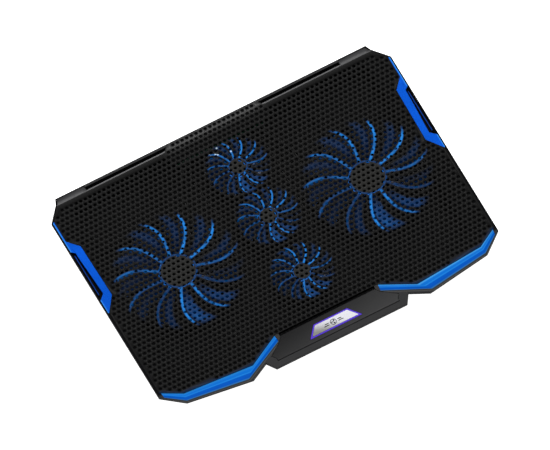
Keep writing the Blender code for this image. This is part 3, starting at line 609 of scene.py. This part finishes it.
def blade_material():
    """Clear blue blades: a bright leading edge, a dark middle and a dim band towards the low edge."""
    material, tree, shader, place = new_material("lit_blue_blade")
    glow_here = ramped_along(tree, "blade", [(share, (value, value, value)) for share, value in CHORD_GLOW])
    cloud = noise(tree, place, 120.0)
    uneven = ranged(tree, cloud.outputs[0], 0.75, 1.25)
    power = chained(tree, "MULTIPLY", [glow_here, uneven, BLADE_GLOW])
    tree.links.new(power, shader.inputs["Emission Strength"])
    shader.inputs["Emission Color"].default_value = rgba((0.012, 0.27, 0.9))
    shader.inputs["Base Color"].default_value = rgba((0.0, 0.02, 0.10))
    shader.inputs["Roughness"].default_value = 0.22
    shader.inputs["Specular IOR Level"].default_value = 0.3
    return material


# ======== fan light on the plate
# Each fan's light lies on the plate as seen from above the front edge, a little in front of the fan.
LIGHT_SHIFTS = {"left": (-0.1, -4.1), "right": (-0.1, -4.1), "rear": (0.6, -2.2),
                "middle": (0.8, -3.8), "front": (0.3, -4.1)}
LIGHT_STOPS = [(0.0, BLACK), (0.35, (0.0, 0.034, 0.135)), (1.0, (0.008, 0.25, 0.80))]
HUB_SHEEN = (0.014, 0.014, 0.013)   # light thrown back up by the hub's flat cap
HUB_RING = 0.305                    # the lit ring round the hub; lengths here are shares of the tip radius
RING_FADE = (0.022, 0.006)
RING_LIGHT = 0.45
HUB_FADE = 0.03
LEAD = 0.25                         # share of the blade pitch, before a leading edge, that is still its own
EDGE_FADE = (0.038, 0.010)          # from the dark outside of a leading edge's line to its lit inside
# A broad face glows between two angles past its leading edge; the brighter it is, the earlier it begins.
FACE_START = 11.0
FACE_START_EARLIER = 9.0
FACE_RISE = 3.0
FACE_END = (20.0, 15.0)
FACE_OUTWARDS = (0.34, 0.75)
FACE_SHARE = 0.46
FACE_LIMIT = 0.45
ROOT_FADE = (0.29, 0.33)
TIP_FADE = (1.12, 0.98)
CLOUD_SCALE = 7.0
CLOUD_RANGE = (0.3, 1.25)
# Pale glints in one part of the rear fan's light: one dot in each cell of a grid of random cells.
GLINT_SCALE = 7.0
GLINT_CENTRE = (-0.3, 0.8, 0.0)
GLINT_FIELD = (0.60, 0.45)
GLINT_SIZE = (0.38, 0.20)
GLINT_CHOICE = (0.25, 0.30)         # about one cell in four has none
GLINT_LIGHT = (0.02, 0.15)
GLINT_TONE = (0.50, 0.62, 0.66)


def blade_at(tree, place):
    """The blade that lights a place, the degrees past its leading edge, and the distance from the centre."""
    x, y, _ = add(tree, "SeparateXYZ", {"Vector": place}).outputs
    flat = add(tree, "CombineXYZ", {"X": x, "Y": y})
    share = add(tree, "VectorMath", {0: flat.outputs[0]}, operation="LENGTH").outputs["Value"]
    turn = math_node(tree, "DEGREES", math_node(tree, "ARCTAN2", y, x))
    off_centre = math_node(tree, "ABSOLUTE", math_node(tree, "SUBTRACT", share, SWEEP_CENTRE))
    sweep = math_node(tree, "MULTIPLY", math_node(tree, "POWER", off_centre, 2.0), SWEEP)
    turn = math_node(tree, "SUBTRACT", turn, sweep)
    phase = math_node(tree, "DIVIDE", math_node(tree, "SUBTRACT", turn, BLADE_START), BLADE_PITCH)
    blade = math_node(tree, "FLOOR", math_node(tree, "ADD", phase, LEAD))
    past = math_node(tree, "MULTIPLY", math_node(tree, "SUBTRACT", phase, blade), BLADE_PITCH)
    return blade, past, share


def light_of(tree, blade):
    """How bright this blade's leading edge and broad face are."""
    number = math_node(tree, "FLOORED_MODULO", math_node(tree, "ADD", blade, 0.5), float(BLADES))
    stops = [(k / BLADES, (EDGE_LIGHT[k], FACE_LIGHT[k], 0.0)) for k in range(BLADES)]
    own = ramped(tree, math_node(tree, "DIVIDE", number, float(BLADES)), stops, "CONSTANT")
    return add(tree, "SeparateColor", {"Color": own}).outputs[:2]


def fan_light_group():
    """Light of one fan: from a place in tip radii from its centre, and how wide the light spreads."""
    tree = bpy.data.node_groups.new("fan_light", "ShaderNodeTree")
    tree.interface.new_socket("Place", in_out="INPUT", socket_type="NodeSocketVector")
    tree.interface.new_socket("Spread", in_out="INPUT", socket_type="NodeSocketFloat")
    tree.interface.new_socket("Light", in_out="OUTPUT", socket_type="NodeSocketFloat")
    tree.interface.new_socket("Hub", in_out="OUTPUT", socket_type="NodeSocketFloat")
    place, spread = tree.nodes.new("NodeGroupInput").outputs[:2]
    blade, past, share = blade_at(tree, place)
    edge_light, face_light = light_of(tree, blade)
    angle = math_node(tree, "RADIANS", math_node(tree, "ABSOLUTE", past))
    arc = math_node(tree, "DIVIDE", math_node(tree, "MULTIPLY", angle, share), spread)
    edge = math_node(tree, "MULTIPLY", step_between(tree, arc, *EDGE_FADE), edge_light)
    earlier = math_node(tree, "MULTIPLY", face_light, FACE_START_EARLIER)
    start = math_node(tree, "SUBTRACT", FACE_START, earlier)
    face = chained(tree, "MULTIPLY", [
        step_between(tree, math_node(tree, "SUBTRACT", past, start), 0.0, FACE_RISE),
        step_between(tree, past, *FACE_END),
        step_between(tree, share, *FACE_OUTWARDS),
        math_node(tree, "MULTIPLY", face_light, FACE_SHARE),
        spread,
    ])
    face = math_node(tree, "MINIMUM", face, FACE_LIMIT)
    light = chained(tree, "MULTIPLY", [
        math_node(tree, "MAXIMUM", edge, face),
        step_between(tree, share, *ROOT_FADE),
        step_between(tree, share, *TIP_FADE),
    ])
    off_ring = math_node(tree, "ABSOLUTE", math_node(tree, "SUBTRACT", share, HUB_RING))
    ring = math_node(tree, "MULTIPLY", step_between(tree, off_ring, *RING_FADE), RING_LIGHT)
    cloud = add(tree, "TexNoise", {"Vector": place, "Scale": CLOUD_SCALE, "Detail": 3.0})
    uneven = ranged(tree, cloud.outputs[0], *CLOUD_RANGE)
    light = math_node(tree, "MULTIPLY", math_node(tree, "MAXIMUM", light, ring), uneven)
    result = tree.nodes.new("NodeGroupOutput")
    tree.links.new(light, result.inputs[0])
    tree.links.new(step_between(tree, share, HUB_RING, HUB_RING - HUB_FADE), result.inputs[1])
    return tree


def glints_in(tree, place, light):
    """Where a fan's light glints: small dots, only where the light is."""
    flat = add(tree, "VectorMath", {0: place, 1: (1.0, 1.0, 0.0)}, operation="MULTIPLY").outputs[0]
    cells = add(tree, "TexVoronoi", {"Vector": flat, "Scale": GLINT_SCALE, "Randomness": 1.0})
    cell_color = add(tree, "SeparateColor", {"Color": cells.outputs["Color"]})
    away = add(tree, "VectorMath", {0: flat, 1: GLINT_CENTRE}, operation="DISTANCE").outputs["Value"]
    return chained(tree, "MULTIPLY", [
        step_between(tree, cells.outputs["Distance"], *GLINT_SIZE),
        step_between(tree, cell_color.outputs[0], *GLINT_CHOICE),
        step_between(tree, away, *GLINT_FIELD),
        step_between(tree, light, *GLINT_LIGHT),
    ])


def spill_on_plate(material):
    """The fans' light as it lies on the metal between the holes; it turns with each rotor."""
    tree = material.node_tree
    group = fan_light_group()
    lights = []
    hubs = []
    glints = None
    for name, fan in FANS.items():
        x, y, _ = AXES["rotor_" + name]
        turning = add(tree, "TexCoord", object=frame["bodies"]["rotor_" + name]).outputs["Object"]
        shift = LIGHT_SHIFTS[name]
        centre = Vector((x + shift[0], y + shift[1], 0.0)) * MM
        offset = add(tree, "VectorMath", {0: turning, 1: centre}, operation="SUBTRACT").outputs[0]
        scale = 1.0 / (fan["light"] * MM)
        place = add(tree, "VectorMath", {0: offset, "Scale": scale}, operation="SCALE").outputs[0]
        light = tree.nodes.new("ShaderNodeGroup")
        light.node_tree = group
        tree.links.new(place, light.inputs[0])
        light.inputs[1].default_value = fan["spread"]
        lights.append(light.outputs[0])
        hubs.append(light.outputs[1])
        if name == "rear":
            glints = glints_in(tree, place, light.outputs[0])
    beside = add(tree, "Attribute", attribute_name="trim_light").outputs["Fac"]
    total = ramped(tree, chained(tree, "MAXIMUM", lights), LIGHT_STOPS)
    hub = chained(tree, "MAXIMUM", hubs)
    for factor, color in ((beside, TRIM_GLOW), (hub, HUB_SHEEN), (glints, GLINT_TONE)):
        extra = mixed(tree, factor, rgba(BLACK), rgba(color))
        total = add(tree, "VectorMath", {0: total, 1: extra}, operation="ADD").outputs[0]
    shader = tree.nodes["Principled BSDF"]
    tree.links.new(total, shader.inputs["Emission Color"])
    shader.inputs["Emission Strength"].default_value = 1.0


# ======== trims
# The pale line along each side trim's outer edge is a painted highlight.
SIDE_TRIM_HIGHLIGHT = (187.4, 187.7)     # from the middle to the pale line along each side trim
FRONT_TRIM_OUTER = [(57.4, -113.3), (102.6, -136.9), (167.0, -127.6), (184.9, -113.6)]
FRONT_TRIM_BOTTOM = TRIM_BOX[0][2]
# (share of the way across, height) of the trim's top
FRONT_TRIM_TOP = [(0.0, 27.1), (0.06, 27.45), (0.12, 27.35), (0.44, 27.75), (0.5, 27.9), (0.56, 27.7),
                  (0.90, 26.6), (0.95, 26.65), (1.0, 26.3)]
# (share of the way across, colour), as the lit acrylic shows it outside its inner line: a painted highlight
# streak on the ridge, a darker outer facet as painted shade, and a pale painted highlight line at the outer
# edge
FRONT_TRIM_TONES_AND_HIGHLIGHTS = [
    (0.19, (0.006, 0.18, 0.69)), (0.41, (0.005, 0.165, 0.66)),
    (0.45, (0.012, 0.23, 0.75)), (0.53, (0.009, 0.21, 0.73)),
    (0.57, (0.001, 0.11, 0.60)), (0.86, (0.001, 0.10, 0.55)),
    (0.90, (0.035, 0.18, 0.46)), (1.0, (0.03, 0.15, 0.36)),
]
# The inner line is a painted highlight along the trim's inner edge, brighter on the right trim.
INNER_HIGHLIGHT_END = 0.13
INNER_HIGHLIGHT_TONES = {"left": (0.018, 0.23, 0.66), "right": (0.055, 0.35, 0.82)}
RECESS_LINE_ENDS = (22.6, 73.8)
RECESS_LINE_MIDDLE = 186.5
RECESS_LINE_SIZE = (0.45, 0.25)     # half its width, and its height
RECESS_BAR_TOP = 25.8


def side_trim_material():
    """Candy blue with a paler painted highlight line along its outer edge."""
    material = grained("candy_blue", (0.0, 0.098, 0.66), 0.3, metallic=0.9, bump=0.01, mottle=0.04)
    tree = material.node_tree
    reach = math_node(tree, "ABSOLUTE", coordinates(tree)[0])
    repaint(material, step_at(tree, reach, SIDE_TRIM_HIGHLIGHT), (0.03, 0.26, 0.88))
    return material


def trim_material(side):
    """Lit acrylic whose tone changes across its facets: painted highlights on the inner line, the ridge and
    the outer edge, and painted shade on the outer facet.
    """
    material, tree, shader, place = new_material("lit_azure_trim_" + side)
    line = INNER_HIGHLIGHT_TONES[side]
    tone = ramped_along(tree, "trim", [(0.0, line), (INNER_HIGHLIGHT_END, line)] + FRONT_TRIM_TONES_AND_HIGHLIGHTS)
    tree.links.new(mixed(tree, 0.7, tone, rgba(BLACK)), shader.inputs["Base Color"])
    tree.links.new(tone, shader.inputs["Emission Color"])
    cloud = noise(tree, place, 40.0)
    tree.links.new(ranged(tree, cloud.outputs[0], 0.5, 0.8), shader.inputs["Emission Strength"])
    fine = noise(tree, place, 900.0)
    relief = add(tree, "Bump", {"Height": fine.outputs[0], "Strength": 0.03, "Distance": GRAIN_DEPTH})
    tree.links.new(relief.outputs[0], shader.inputs["Normal"])
    shader.inputs["Roughness"].default_value = 0.25
    shader.inputs["Specular IOR Level"].default_value = 0.02
    return material


def build_front_trim(side, sign, material):
    """Facets, with UV running across them for the painted highlights of the inner line, the ridge streak and
    the pale outer line.
    """
    vertices = []
    marks = []
    for inner, outer in zip(FRONT_TRIM_INNER, FRONT_TRIM_OUTER):
        section = [(0.0, FRONT_TRIM_BOTTOM)] + FRONT_TRIM_TOP + [(1.0, FRONT_TRIM_BOTTOM)]
        for share, z in section:
            x, y = Vector(inner).lerp(Vector(outer), share)
            vertices.append((sign * x, y, z))
            marks.append(share)
    faces = lofted(len(FRONT_TRIM_TOP) + 2, len(FRONT_TRIM_INNER))
    trim = piece_from("lit_front_trim_" + side, vertices, faces, material, "base")
    layer = trim.data.uv_layers.new(name="trim")
    for loop in trim.data.loops:
        layer.data[loop.index].uv = (marks[loop.vertex_index], 0.5)
    outward(trim)
    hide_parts("front_trim_" + side)


def build_recess_line(side, sign, material):
    """Slim rounded blue strip along the top of the bar in a side recess."""
    half_width, rise = RECESS_LINE_SIZE
    profile = [(half_width * math.cos(a), RECESS_BAR_TOP + rise * math.sin(a))
               for a in (math.pi * k / 6 for k in range(7))]
    vertices = [(sign * (RECESS_LINE_MIDDLE + x), y, z) for y in RECESS_LINE_ENDS for x, z in profile]
    faces = lofted(len(profile), len(RECESS_LINE_ENDS))
    line = piece_from("recess_line_" + side, vertices, faces, material, "base")
    outward(line)


# ======== studio
CAMERA_AZIMUTH = -20.86
CAMERA_ELEVATION = 60.23
CAMERA_ROLL = -8.0
CAMERA_SPAN = 0.543          # metres across the picture
CAMERA_DISTANCE = 1.5
CAMERA_AIM = (0.001086, -0.00385)   # where the plate's middle sits in the picture, metres right and up
AMBIENT = 0.55
FLOOR_HALF = 6.0             # metres
UNDERSIDE_LIGHT = 0.4        # what the dark part of the floor still gives to the pad's underside
# The floor under the fans' air slots is painted shade: black to the camera, where the pad's shadow falls.
SHADED_FAN_FIELDS = ((0.163, 0.070), (0.034, 0.113))   # half sizes of the floor under the air slots, metres


def from_direction(azimuth, elevation):
    """Unit vector towards a point seen in that direction; azimuth 0 is the front, 90 the right."""
    a = math.radians(azimuth)
    e = math.radians(elevation)
    return Vector((math.sin(a) * math.cos(e), -math.cos(a) * math.cos(e), math.sin(e)))


def build_camera():
    """Orthographic camera, rolled so that the pad lies askew in the picture."""
    back = from_direction(CAMERA_AZIMUTH, CAMERA_ELEVATION)
    level = Vector((0.0, 0.0, 1.0)).cross(back).normalized()
    roll = math.radians(CAMERA_ROLL)
    right = Matrix.Rotation(roll, 3, back) @ level
    up = back.cross(right)
    camera = new_object("camera", bpy.data.cameras.new("camera"))
    camera.data.type = "ORTHO"
    camera.data.ortho_scale = CAMERA_SPAN
    aim = Vector((0.0, 0.0, PLATE_TOP * MM)) - right * CAMERA_AIM[0] - up * CAMERA_AIM[1]
    turn = Matrix((right, up, back)).transposed()
    camera.matrix_world = Matrix.Translation(aim + back * CAMERA_DISTANCE) @ turn.to_4x4()
    bpy.context.scene.camera = camera


def softbox(name, azimuth, elevation, distance, size, power):
    """Rectangular lamp that faces the middle of the pad."""
    lamp = bpy.data.lights.new(name, "AREA")
    lamp.shape = "RECTANGLE"
    lamp.size = size[0]
    lamp.size_y = size[1]
    lamp.energy = power
    light = new_object(name, lamp)
    direction = from_direction(azimuth, elevation)
    light.location = direction * distance
    light.rotation_mode = "QUATERNION"
    light.rotation_quaternion = direction.to_track_quat("Z", "Y")


def floor_material():
    """White and self-lit, clear from below; the camera sees it black under the fans' air slots, painted
    shade for the pad's shadow there.
    """
    material, tree, shader, _ = new_material("white_floor")
    shader.inputs["Roughness"].default_value = 0.9
    shader.inputs["Emission Color"].default_value = rgba(WHITE)
    geometry = add(tree, "NewGeometry")
    x, y, _ = add(tree, "SeparateXYZ", {"Vector": geometry.outputs["Position"]}).outputs
    reaches = []
    for half_x, half_y in SHADED_FAN_FIELDS:
        across = math_node(tree, "DIVIDE", math_node(tree, "ABSOLUTE", x), half_x)
        along = math_node(tree, "DIVIDE", math_node(tree, "ABSOLUTE", y), half_y)
        reaches.append(math_node(tree, "MAXIMUM", across, along))
    # Painted shade: no glow and a black base colour under the air slots for camera rays.
    beyond = math_node(tree, "GREATER_THAN", chained(tree, "MINIMUM", reaches), 1.0)
    unseen = math_node(tree, "SUBTRACT", 1.0, add(tree, "LightPath").outputs["Is Camera Ray"])
    lit = math_node(tree, "MAXIMUM", beyond, math_node(tree, "MULTIPLY", unseen, UNDERSIDE_LIGHT))
    tree.links.new(lit, shader.inputs["Emission Strength"])
    tree.links.new(mixed(tree, lit, rgba(BLACK), rgba((0.9, 0.9, 0.9))), shader.inputs["Base Color"])
    clear = add(tree, "BsdfTransparent").outputs[0]
    mix = add(tree, "MixShader", {0: geometry.outputs["Backfacing"], 1: shader.outputs[0], 2: clear})
    tree.links.new(mix.outputs[0], tree.nodes["Material Output"].inputs["Surface"])
    return material


def build_floor():
    corners = [(x * FLOOR_HALF, y * FLOOR_HALF, 0.0) for x, y in ((-1, -1), (1, -1), (1, 1), (-1, 1))]
    mesh = bpy.data.meshes.new("floor")
    mesh.from_pydata(corners, [], [(0, 1, 2, 3)])
    mesh.materials.append(floor_material())
    new_object("floor", mesh)


def build_world():
    """Soft white light from all round; the camera sees plain white."""
    world = bpy.data.worlds.new("studio")
    bpy.context.scene.world = world
    world.use_nodes = True
    tree = world.node_tree
    lighting = tree.nodes["Background"]
    lighting.inputs["Color"].default_value = rgba(WHITE)
    lighting.inputs["Strength"].default_value = AMBIENT
    seen = add(tree, "Background", {"Color": rgba(WHITE), "Strength": 1.0})
    path = add(tree, "LightPath")
    camera_ray = path.outputs["Is Camera Ray"]
    mix = add(tree, "MixShader", {0: camera_ray, 1: lighting.outputs[0], 2: seen.outputs[0]})
    tree.links.new(mix.outputs[0], tree.nodes["World Output"].inputs["Surface"])


# ======== carried-over nodes and small pieces
# Each pair is where a change of tone begins and ends.
# The next three pairs bound the painted shade that keeps the rim's long sides and its walls below the top
# near black.
RIM_SIDE_SHADE = (170.0, 173.5)
RIM_FRONT_SHADE = (-112.0, -108.0)
RIM_TOP_SHADE = (27.0, 26.8)
NEAR_BLACK = (0.004, 0.004, 0.0045)
# Beside the front trims the rim has a dark gap line of painted shade and a paler edge line of painted
# highlight: each between two pairs of distances.
GAP_SHADE_LINE = ((0.1, 0.3), (1.3, 1.0))
EDGE_HIGHLIGHT_LINE = ((1.4, 1.7), (2.6, 2.3))
FLAP_MIDDLE = -122.0
# Painted shade across the flap: darker at its left end beside the plate, paler to the front right.
FLAP_SHADE_RUN = (250.0, -50.0)      # the flap turns paler over these distances to the right and forwards
FLAP_SHADE_RANGE = (0.6, -0.6)
DIAL_CENTRE = AXES["dial"][:2]
DIAL_RIBS = 40
DIAL_RIB_DEPTH = 0.05               # share of the radius
DIAL_BOTTOM, DIAL_TOP = DIAL_BOX[0][2], DIAL_BOX[1][2]
DIAL_RADIUS = (DIAL_BOX[1][0] - DIAL_BOX[0][0]) / 2
DIAL_BORE = 1.6
DIAL_CHAMFER = (0.6, 0.5)
BADGE_TOP = BADGE_BOX[1][2]
BADGE_SHADE = (-305.0, -345.0)      # along x + slope * y
BADGE_SHADE_SLOPE = 2.6
MARK_CENTRE = (0.0, -121.4)
MARK_HEIGHT = 0.15
MARK_RING = (3.3, 2.8)
MARK_BLADES = 3
MARK_BLADE_RADII = (0.4, 1.2, 2.0, 2.5)
MARK_BLADE_ANGLE = 0.85             # radians
MARK_SWEEP = 0.28                   # radians per millimetre outwards
MARK_BARS = (((5.0, -1.6), (11.0, -1.6), (10.2, -0.8), (5.0, -0.8)),
             ((5.0, 0.4), (9.4, 0.4), (8.6, 1.2), (5.0, 1.2)))
# Width of the rounded edges, by material slot.
ROUNDING = {"black_plastic": 0.25, "grey_plastic": 0.25, "blue_trim": 0.25, "badge_silver": 0.15,
            "fan_plastic": 0.15, "rubber": 0.3, "steel": 0.1}
ROUNDING_ANGLE = 32.0        # degrees; flatter edges stay as they are


def slot_materials():
    """A material for each material slot that carried-over nodes and small pieces use."""
    return {
        "black_plastic": grained("black_moulding", (0.005, 0.005, 0.006), 0.45, specular=0.14, bump=0.25),
        "grey_plastic": grained("satin_rim", (0.012, 0.012, 0.013), 0.36, specular=0.3, bump=0.10),
        "blue_trim": side_trim_material(),
        "badge_silver": badge_material(),
        "light_guide": glow(grained("violet_light", (0.05, 0.01, 0.40), 0.3, bump=0.02),
                            (0.045, 0.007, 0.40), 0.62),
        "fan_plastic": grained("fan_black", (0.006, 0.006, 0.007), 0.42, specular=0.15, bump=0.12),
        "copper_winding": grained("copper_coil", (0.72, 0.30, 0.14), 0.35, metallic=1.0, bump=0.5,
                                  grain=1500.0, stretch=(0.05, 0.05, 1.0)),
        "steel": grained("brushed_steel", (0.60, 0.60, 0.62), 0.30, metallic=1.0, bump=0.15,
                         stretch=(1.0, 1.0, 0.05)),
        "circuit_board": grained("green_board", (0.01, 0.10, 0.05), 0.4, bump=0.2, grain=300.0, mottle=0.4),
        "rubber": grained("matt_rubber", (0.028, 0.028, 0.028), 0.85, specular=0.2, bump=0.35),
        "wire": grained("wire_sleeve", (0.035, 0.035, 0.035), 0.5, bump=0.15),
    }


def outside_front_trims(tree, x, y):
    """Distance in mm from the front trims' outer edge out over the rim, the same on both sides."""
    place = add(tree, "CombineXYZ", {"X": math_node(tree, "ABSOLUTE", x), "Y": y}).outputs[0]
    distances = []
    for start, end in zip(FRONT_TRIM_OUTER, FRONT_TRIM_OUTER[1:]):
        along = (Vector(end) - Vector(start)).normalized()
        across = Vector((along.y, -along.x, 0.0)) / MM
        dot = add(tree, "VectorMath", {0: place, 1: across}, operation="DOT_PRODUCT").outputs["Value"]
        distances.append(math_node(tree, "SUBTRACT", dot, across.xy.dot(Vector(start)) * MM))
    return chained(tree, "MAXIMUM", distances)


def rim_material():
    """The rim's satin grey, with a painted shade line and a painted highlight line beside the front trims;
    painted shade keeps its two long sides, and everything below its top, near black.
    """
    material = grained("satin_rim_sides", (0.012, 0.012, 0.013), 0.36, specular=0.3, bump=0.10)
    tree = material.node_tree
    x, y, z = coordinates(tree)
    outside = outside_front_trims(tree, x, y)
    # Painted shade in the gap beside the trims, then a painted highlight on the rim's edge.
    for line, color in ((GAP_SHADE_LINE, (0.006, 0.006, 0.0065)), (EDGE_HIGHLIGHT_LINE, (0.045, 0.044, 0.042))):
        begin, end = (step_between(tree, outside, *limits) for limits in line)
        repaint(material, math_node(tree, "MULTIPLY", begin, end), color)
    # Painted shade: the long sides and the walls below the top turn near black.
    beside = step_at(tree, math_node(tree, "ABSOLUTE", x), RIM_SIDE_SHADE)
    side = math_node(tree, "MULTIPLY", beside, step_at(tree, y, RIM_FRONT_SHADE))
    dark = math_node(tree, "MAXIMUM", side, step_at(tree, z, RIM_TOP_SHADE))
    repaint(material, dark, NEAR_BLACK)
    vary_shine(material, dark, 0.27, 0.03)
    return material


def flap_material():
    """The rim's satin grey with painted shade: darker at the flap's left end beside the plate and paler at
    its front right.
    """
    material = grained("satin_flap", (0.016, 0.016, 0.0168), 0.36, specular=0.3, bump=0.10)
    tree = material.node_tree
    x, y, _ = coordinates(tree, "flap")
    forwards = math_node(tree, "SUBTRACT", y, FLAP_MIDDLE * MM)
    along = math_node(tree, "ADD", math_node(tree, "DIVIDE", x, FLAP_SHADE_RUN[0] * MM),
                      math_node(tree, "DIVIDE", forwards, FLAP_SHADE_RUN[1] * MM))
    # Painted shade, fading out to the front right.
    dark = step_between(tree, along, *FLAP_SHADE_RANGE)
    repaint(material, dark, (0.005, 0.005, 0.0054))
    vary_shine(material, dark, 0.36, 0.12)
    return material


def build_dial(material):
    """Thumbwheel with a fine ribbed rim."""
    narrow, low = DIAL_CHAMFER
    profile = [(DIAL_RADIUS - narrow, DIAL_BOTTOM), (DIAL_RADIUS, DIAL_BOTTOM + low),
               (DIAL_RADIUS, DIAL_TOP - low), (DIAL_RADIUS - narrow, DIAL_TOP),
               (DIAL_BORE, DIAL_TOP), (DIAL_BORE, DIAL_BOTTOM)]
    segments = 4 * DIAL_RIBS
    vertices, faces = turned(DIAL_CENTRE, profile, segments)
    for i in range(segments):
        if i % 4 >= 2:
            for k in (i * len(profile) + 1, i * len(profile) + 2):
                x, y, z = vertices[k]
                inward = Vector(DIAL_CENTRE).lerp(Vector((x, y)), 1.0 - DIAL_RIB_DEPTH)
                vertices[k] = (inward.x, inward.y, z)
    dial = piece_from("ribbed_dial", vertices, faces, material, "dial")
    outward(dial)
    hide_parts("speed_dial")


def badge_material():
    """Brushed silver, darker towards the front left corner."""
    material = grained("silver_badge", (0.80, 0.80, 0.86), 0.25, metallic=0.4, bump=0.03, mottle=0.04,
                       stretch=(0.05, 1.0, 1.0))
    tree = material.node_tree
    x, y, _ = coordinates(tree, "flap")
    along = math_node(tree, "ADD", x, math_node(tree, "MULTIPLY", y, BADGE_SHADE_SLOPE))
    repaint(material, step_at(tree, along, BADGE_SHADE), (0.24, 0.24, 0.22))
    return material


def mark_outlines():
    """The mark's curved blades and bars, about its own centre."""
    outlines = []
    for k in range(MARK_BLADES):
        start = 2 * math.pi * k / MARK_BLADES
        lead = [(r, start + MARK_SWEEP * r) for r in MARK_BLADE_RADII]
        trail = [(r, angle + MARK_BLADE_ANGLE) for r, angle in reversed(lead)]
        outlines.append([(r * math.cos(a), r * math.sin(a)) for r, a in lead + trail])
    for sign in (-1.0, 1.0):
        outlines += [[(sign * x, y) for x, y in bar] for bar in MARK_BARS]
    return outlines


def build_badge_mark(material):
    """Plain raised mark on the badge: a ring, three curved blades and two short bars each side."""
    x0, y0 = MARK_CENTRE
    low = BADGE_TOP
    high = BADGE_TOP + MARK_HEIGHT
    outer, inner = MARK_RING
    vertices, faces = turned((x0, y0), [(outer, low), (outer, high), (inner, high), (inner, low)], 32)
    for outline in mark_outlines():
        faces += lofted(len(outline), 2, first=len(vertices))
        vertices += [(x0 + x, y0 + y, z) for z in (low, high) for x, y in outline]
    mark = piece_from("badge_mark", vertices, faces, material, "flap")
    outward(mark)


def round_edges(node, width):
    """Join the faceted solid's split edges and round them."""
    weld = node.modifiers.new("weld", "WELD")
    weld.merge_threshold = 1e-6
    bevel = node.modifiers.new("rounded_edges", "BEVEL")
    bevel.width = width * MM
    bevel.segments = 2
    bevel.limit_method = "ANGLE"
    bevel.angle_limit = math.radians(ROUNDING_ANGLE)
    bevel.harden_normals = True


def dress_nodes(materials):
    """Give each CAD node its own material or that of its slot, and rounded edges."""
    dark_steel = grained("blackened_steel", (0.02, 0.02, 0.022), 0.45, metallic=0.8, bump=0.1)
    own_paint = {"top_frame": rim_material(), "front_flap": flap_material(),
                 "flap_pin_left": dark_steel, "flap_pin_right": dark_steel}
    for part in frame["record"]["subparts"]:
        node = frame["nodes"][part["node"]]
        name = part["material_slot"]
        if name not in materials:
            continue
        node.data.materials.clear()
        node.data.materials.append(own_paint.get(part["node"], materials[name]))
        if name in ROUNDING:
            round_edges(node, ROUNDING[name])


# ======== the whole scene
def build():
    materials = slot_materials()
    plate_paint = plate_material()
    spill_on_plate(plate_paint)
    build_plate(plate_paint, bend_material())
    blades = blade_material()
    ring = glow(grained("hub_ring_light", (0.0, 0.05, 0.3), 0.3), (0.012, 0.16, 0.6), 0.6)
    cap_paint = grained("matt_hub_cap", (0.002, 0.002, 0.002), 0.6, specular=0.03, bump=0.1)
    for name in FANS:
        build_blades(name, blades)
        build_hub(name, cap_paint, ring)
    build_badge_mark(materials["fan_plastic"])
    build_dial(materials["grey_plastic"])
    recess_blue = grained("deep_blue", (0.0, 0.055, 0.36), 0.3, metallic=0.8, bump=0.01, mottle=0.04)
    for side, sign in (("left", -1.0), ("right", 1.0)):
        build_front_trim(side, sign, trim_material(side))
        build_recess_line(side, sign, recess_blue)
    dress_nodes(materials)
    build_floor()
    build_world()
    softbox("overhead", azimuth=0.0, elevation=88.0, distance=1.6, size=(1.4, 1.2), power=9.0)
    softbox("rear_strip", azimuth=170.0, elevation=34.0, distance=1.6, size=(1.6, 0.6), power=14.0)
    build_camera()
    bpy.context.scene.view_settings.view_transform = "Standard"


build()
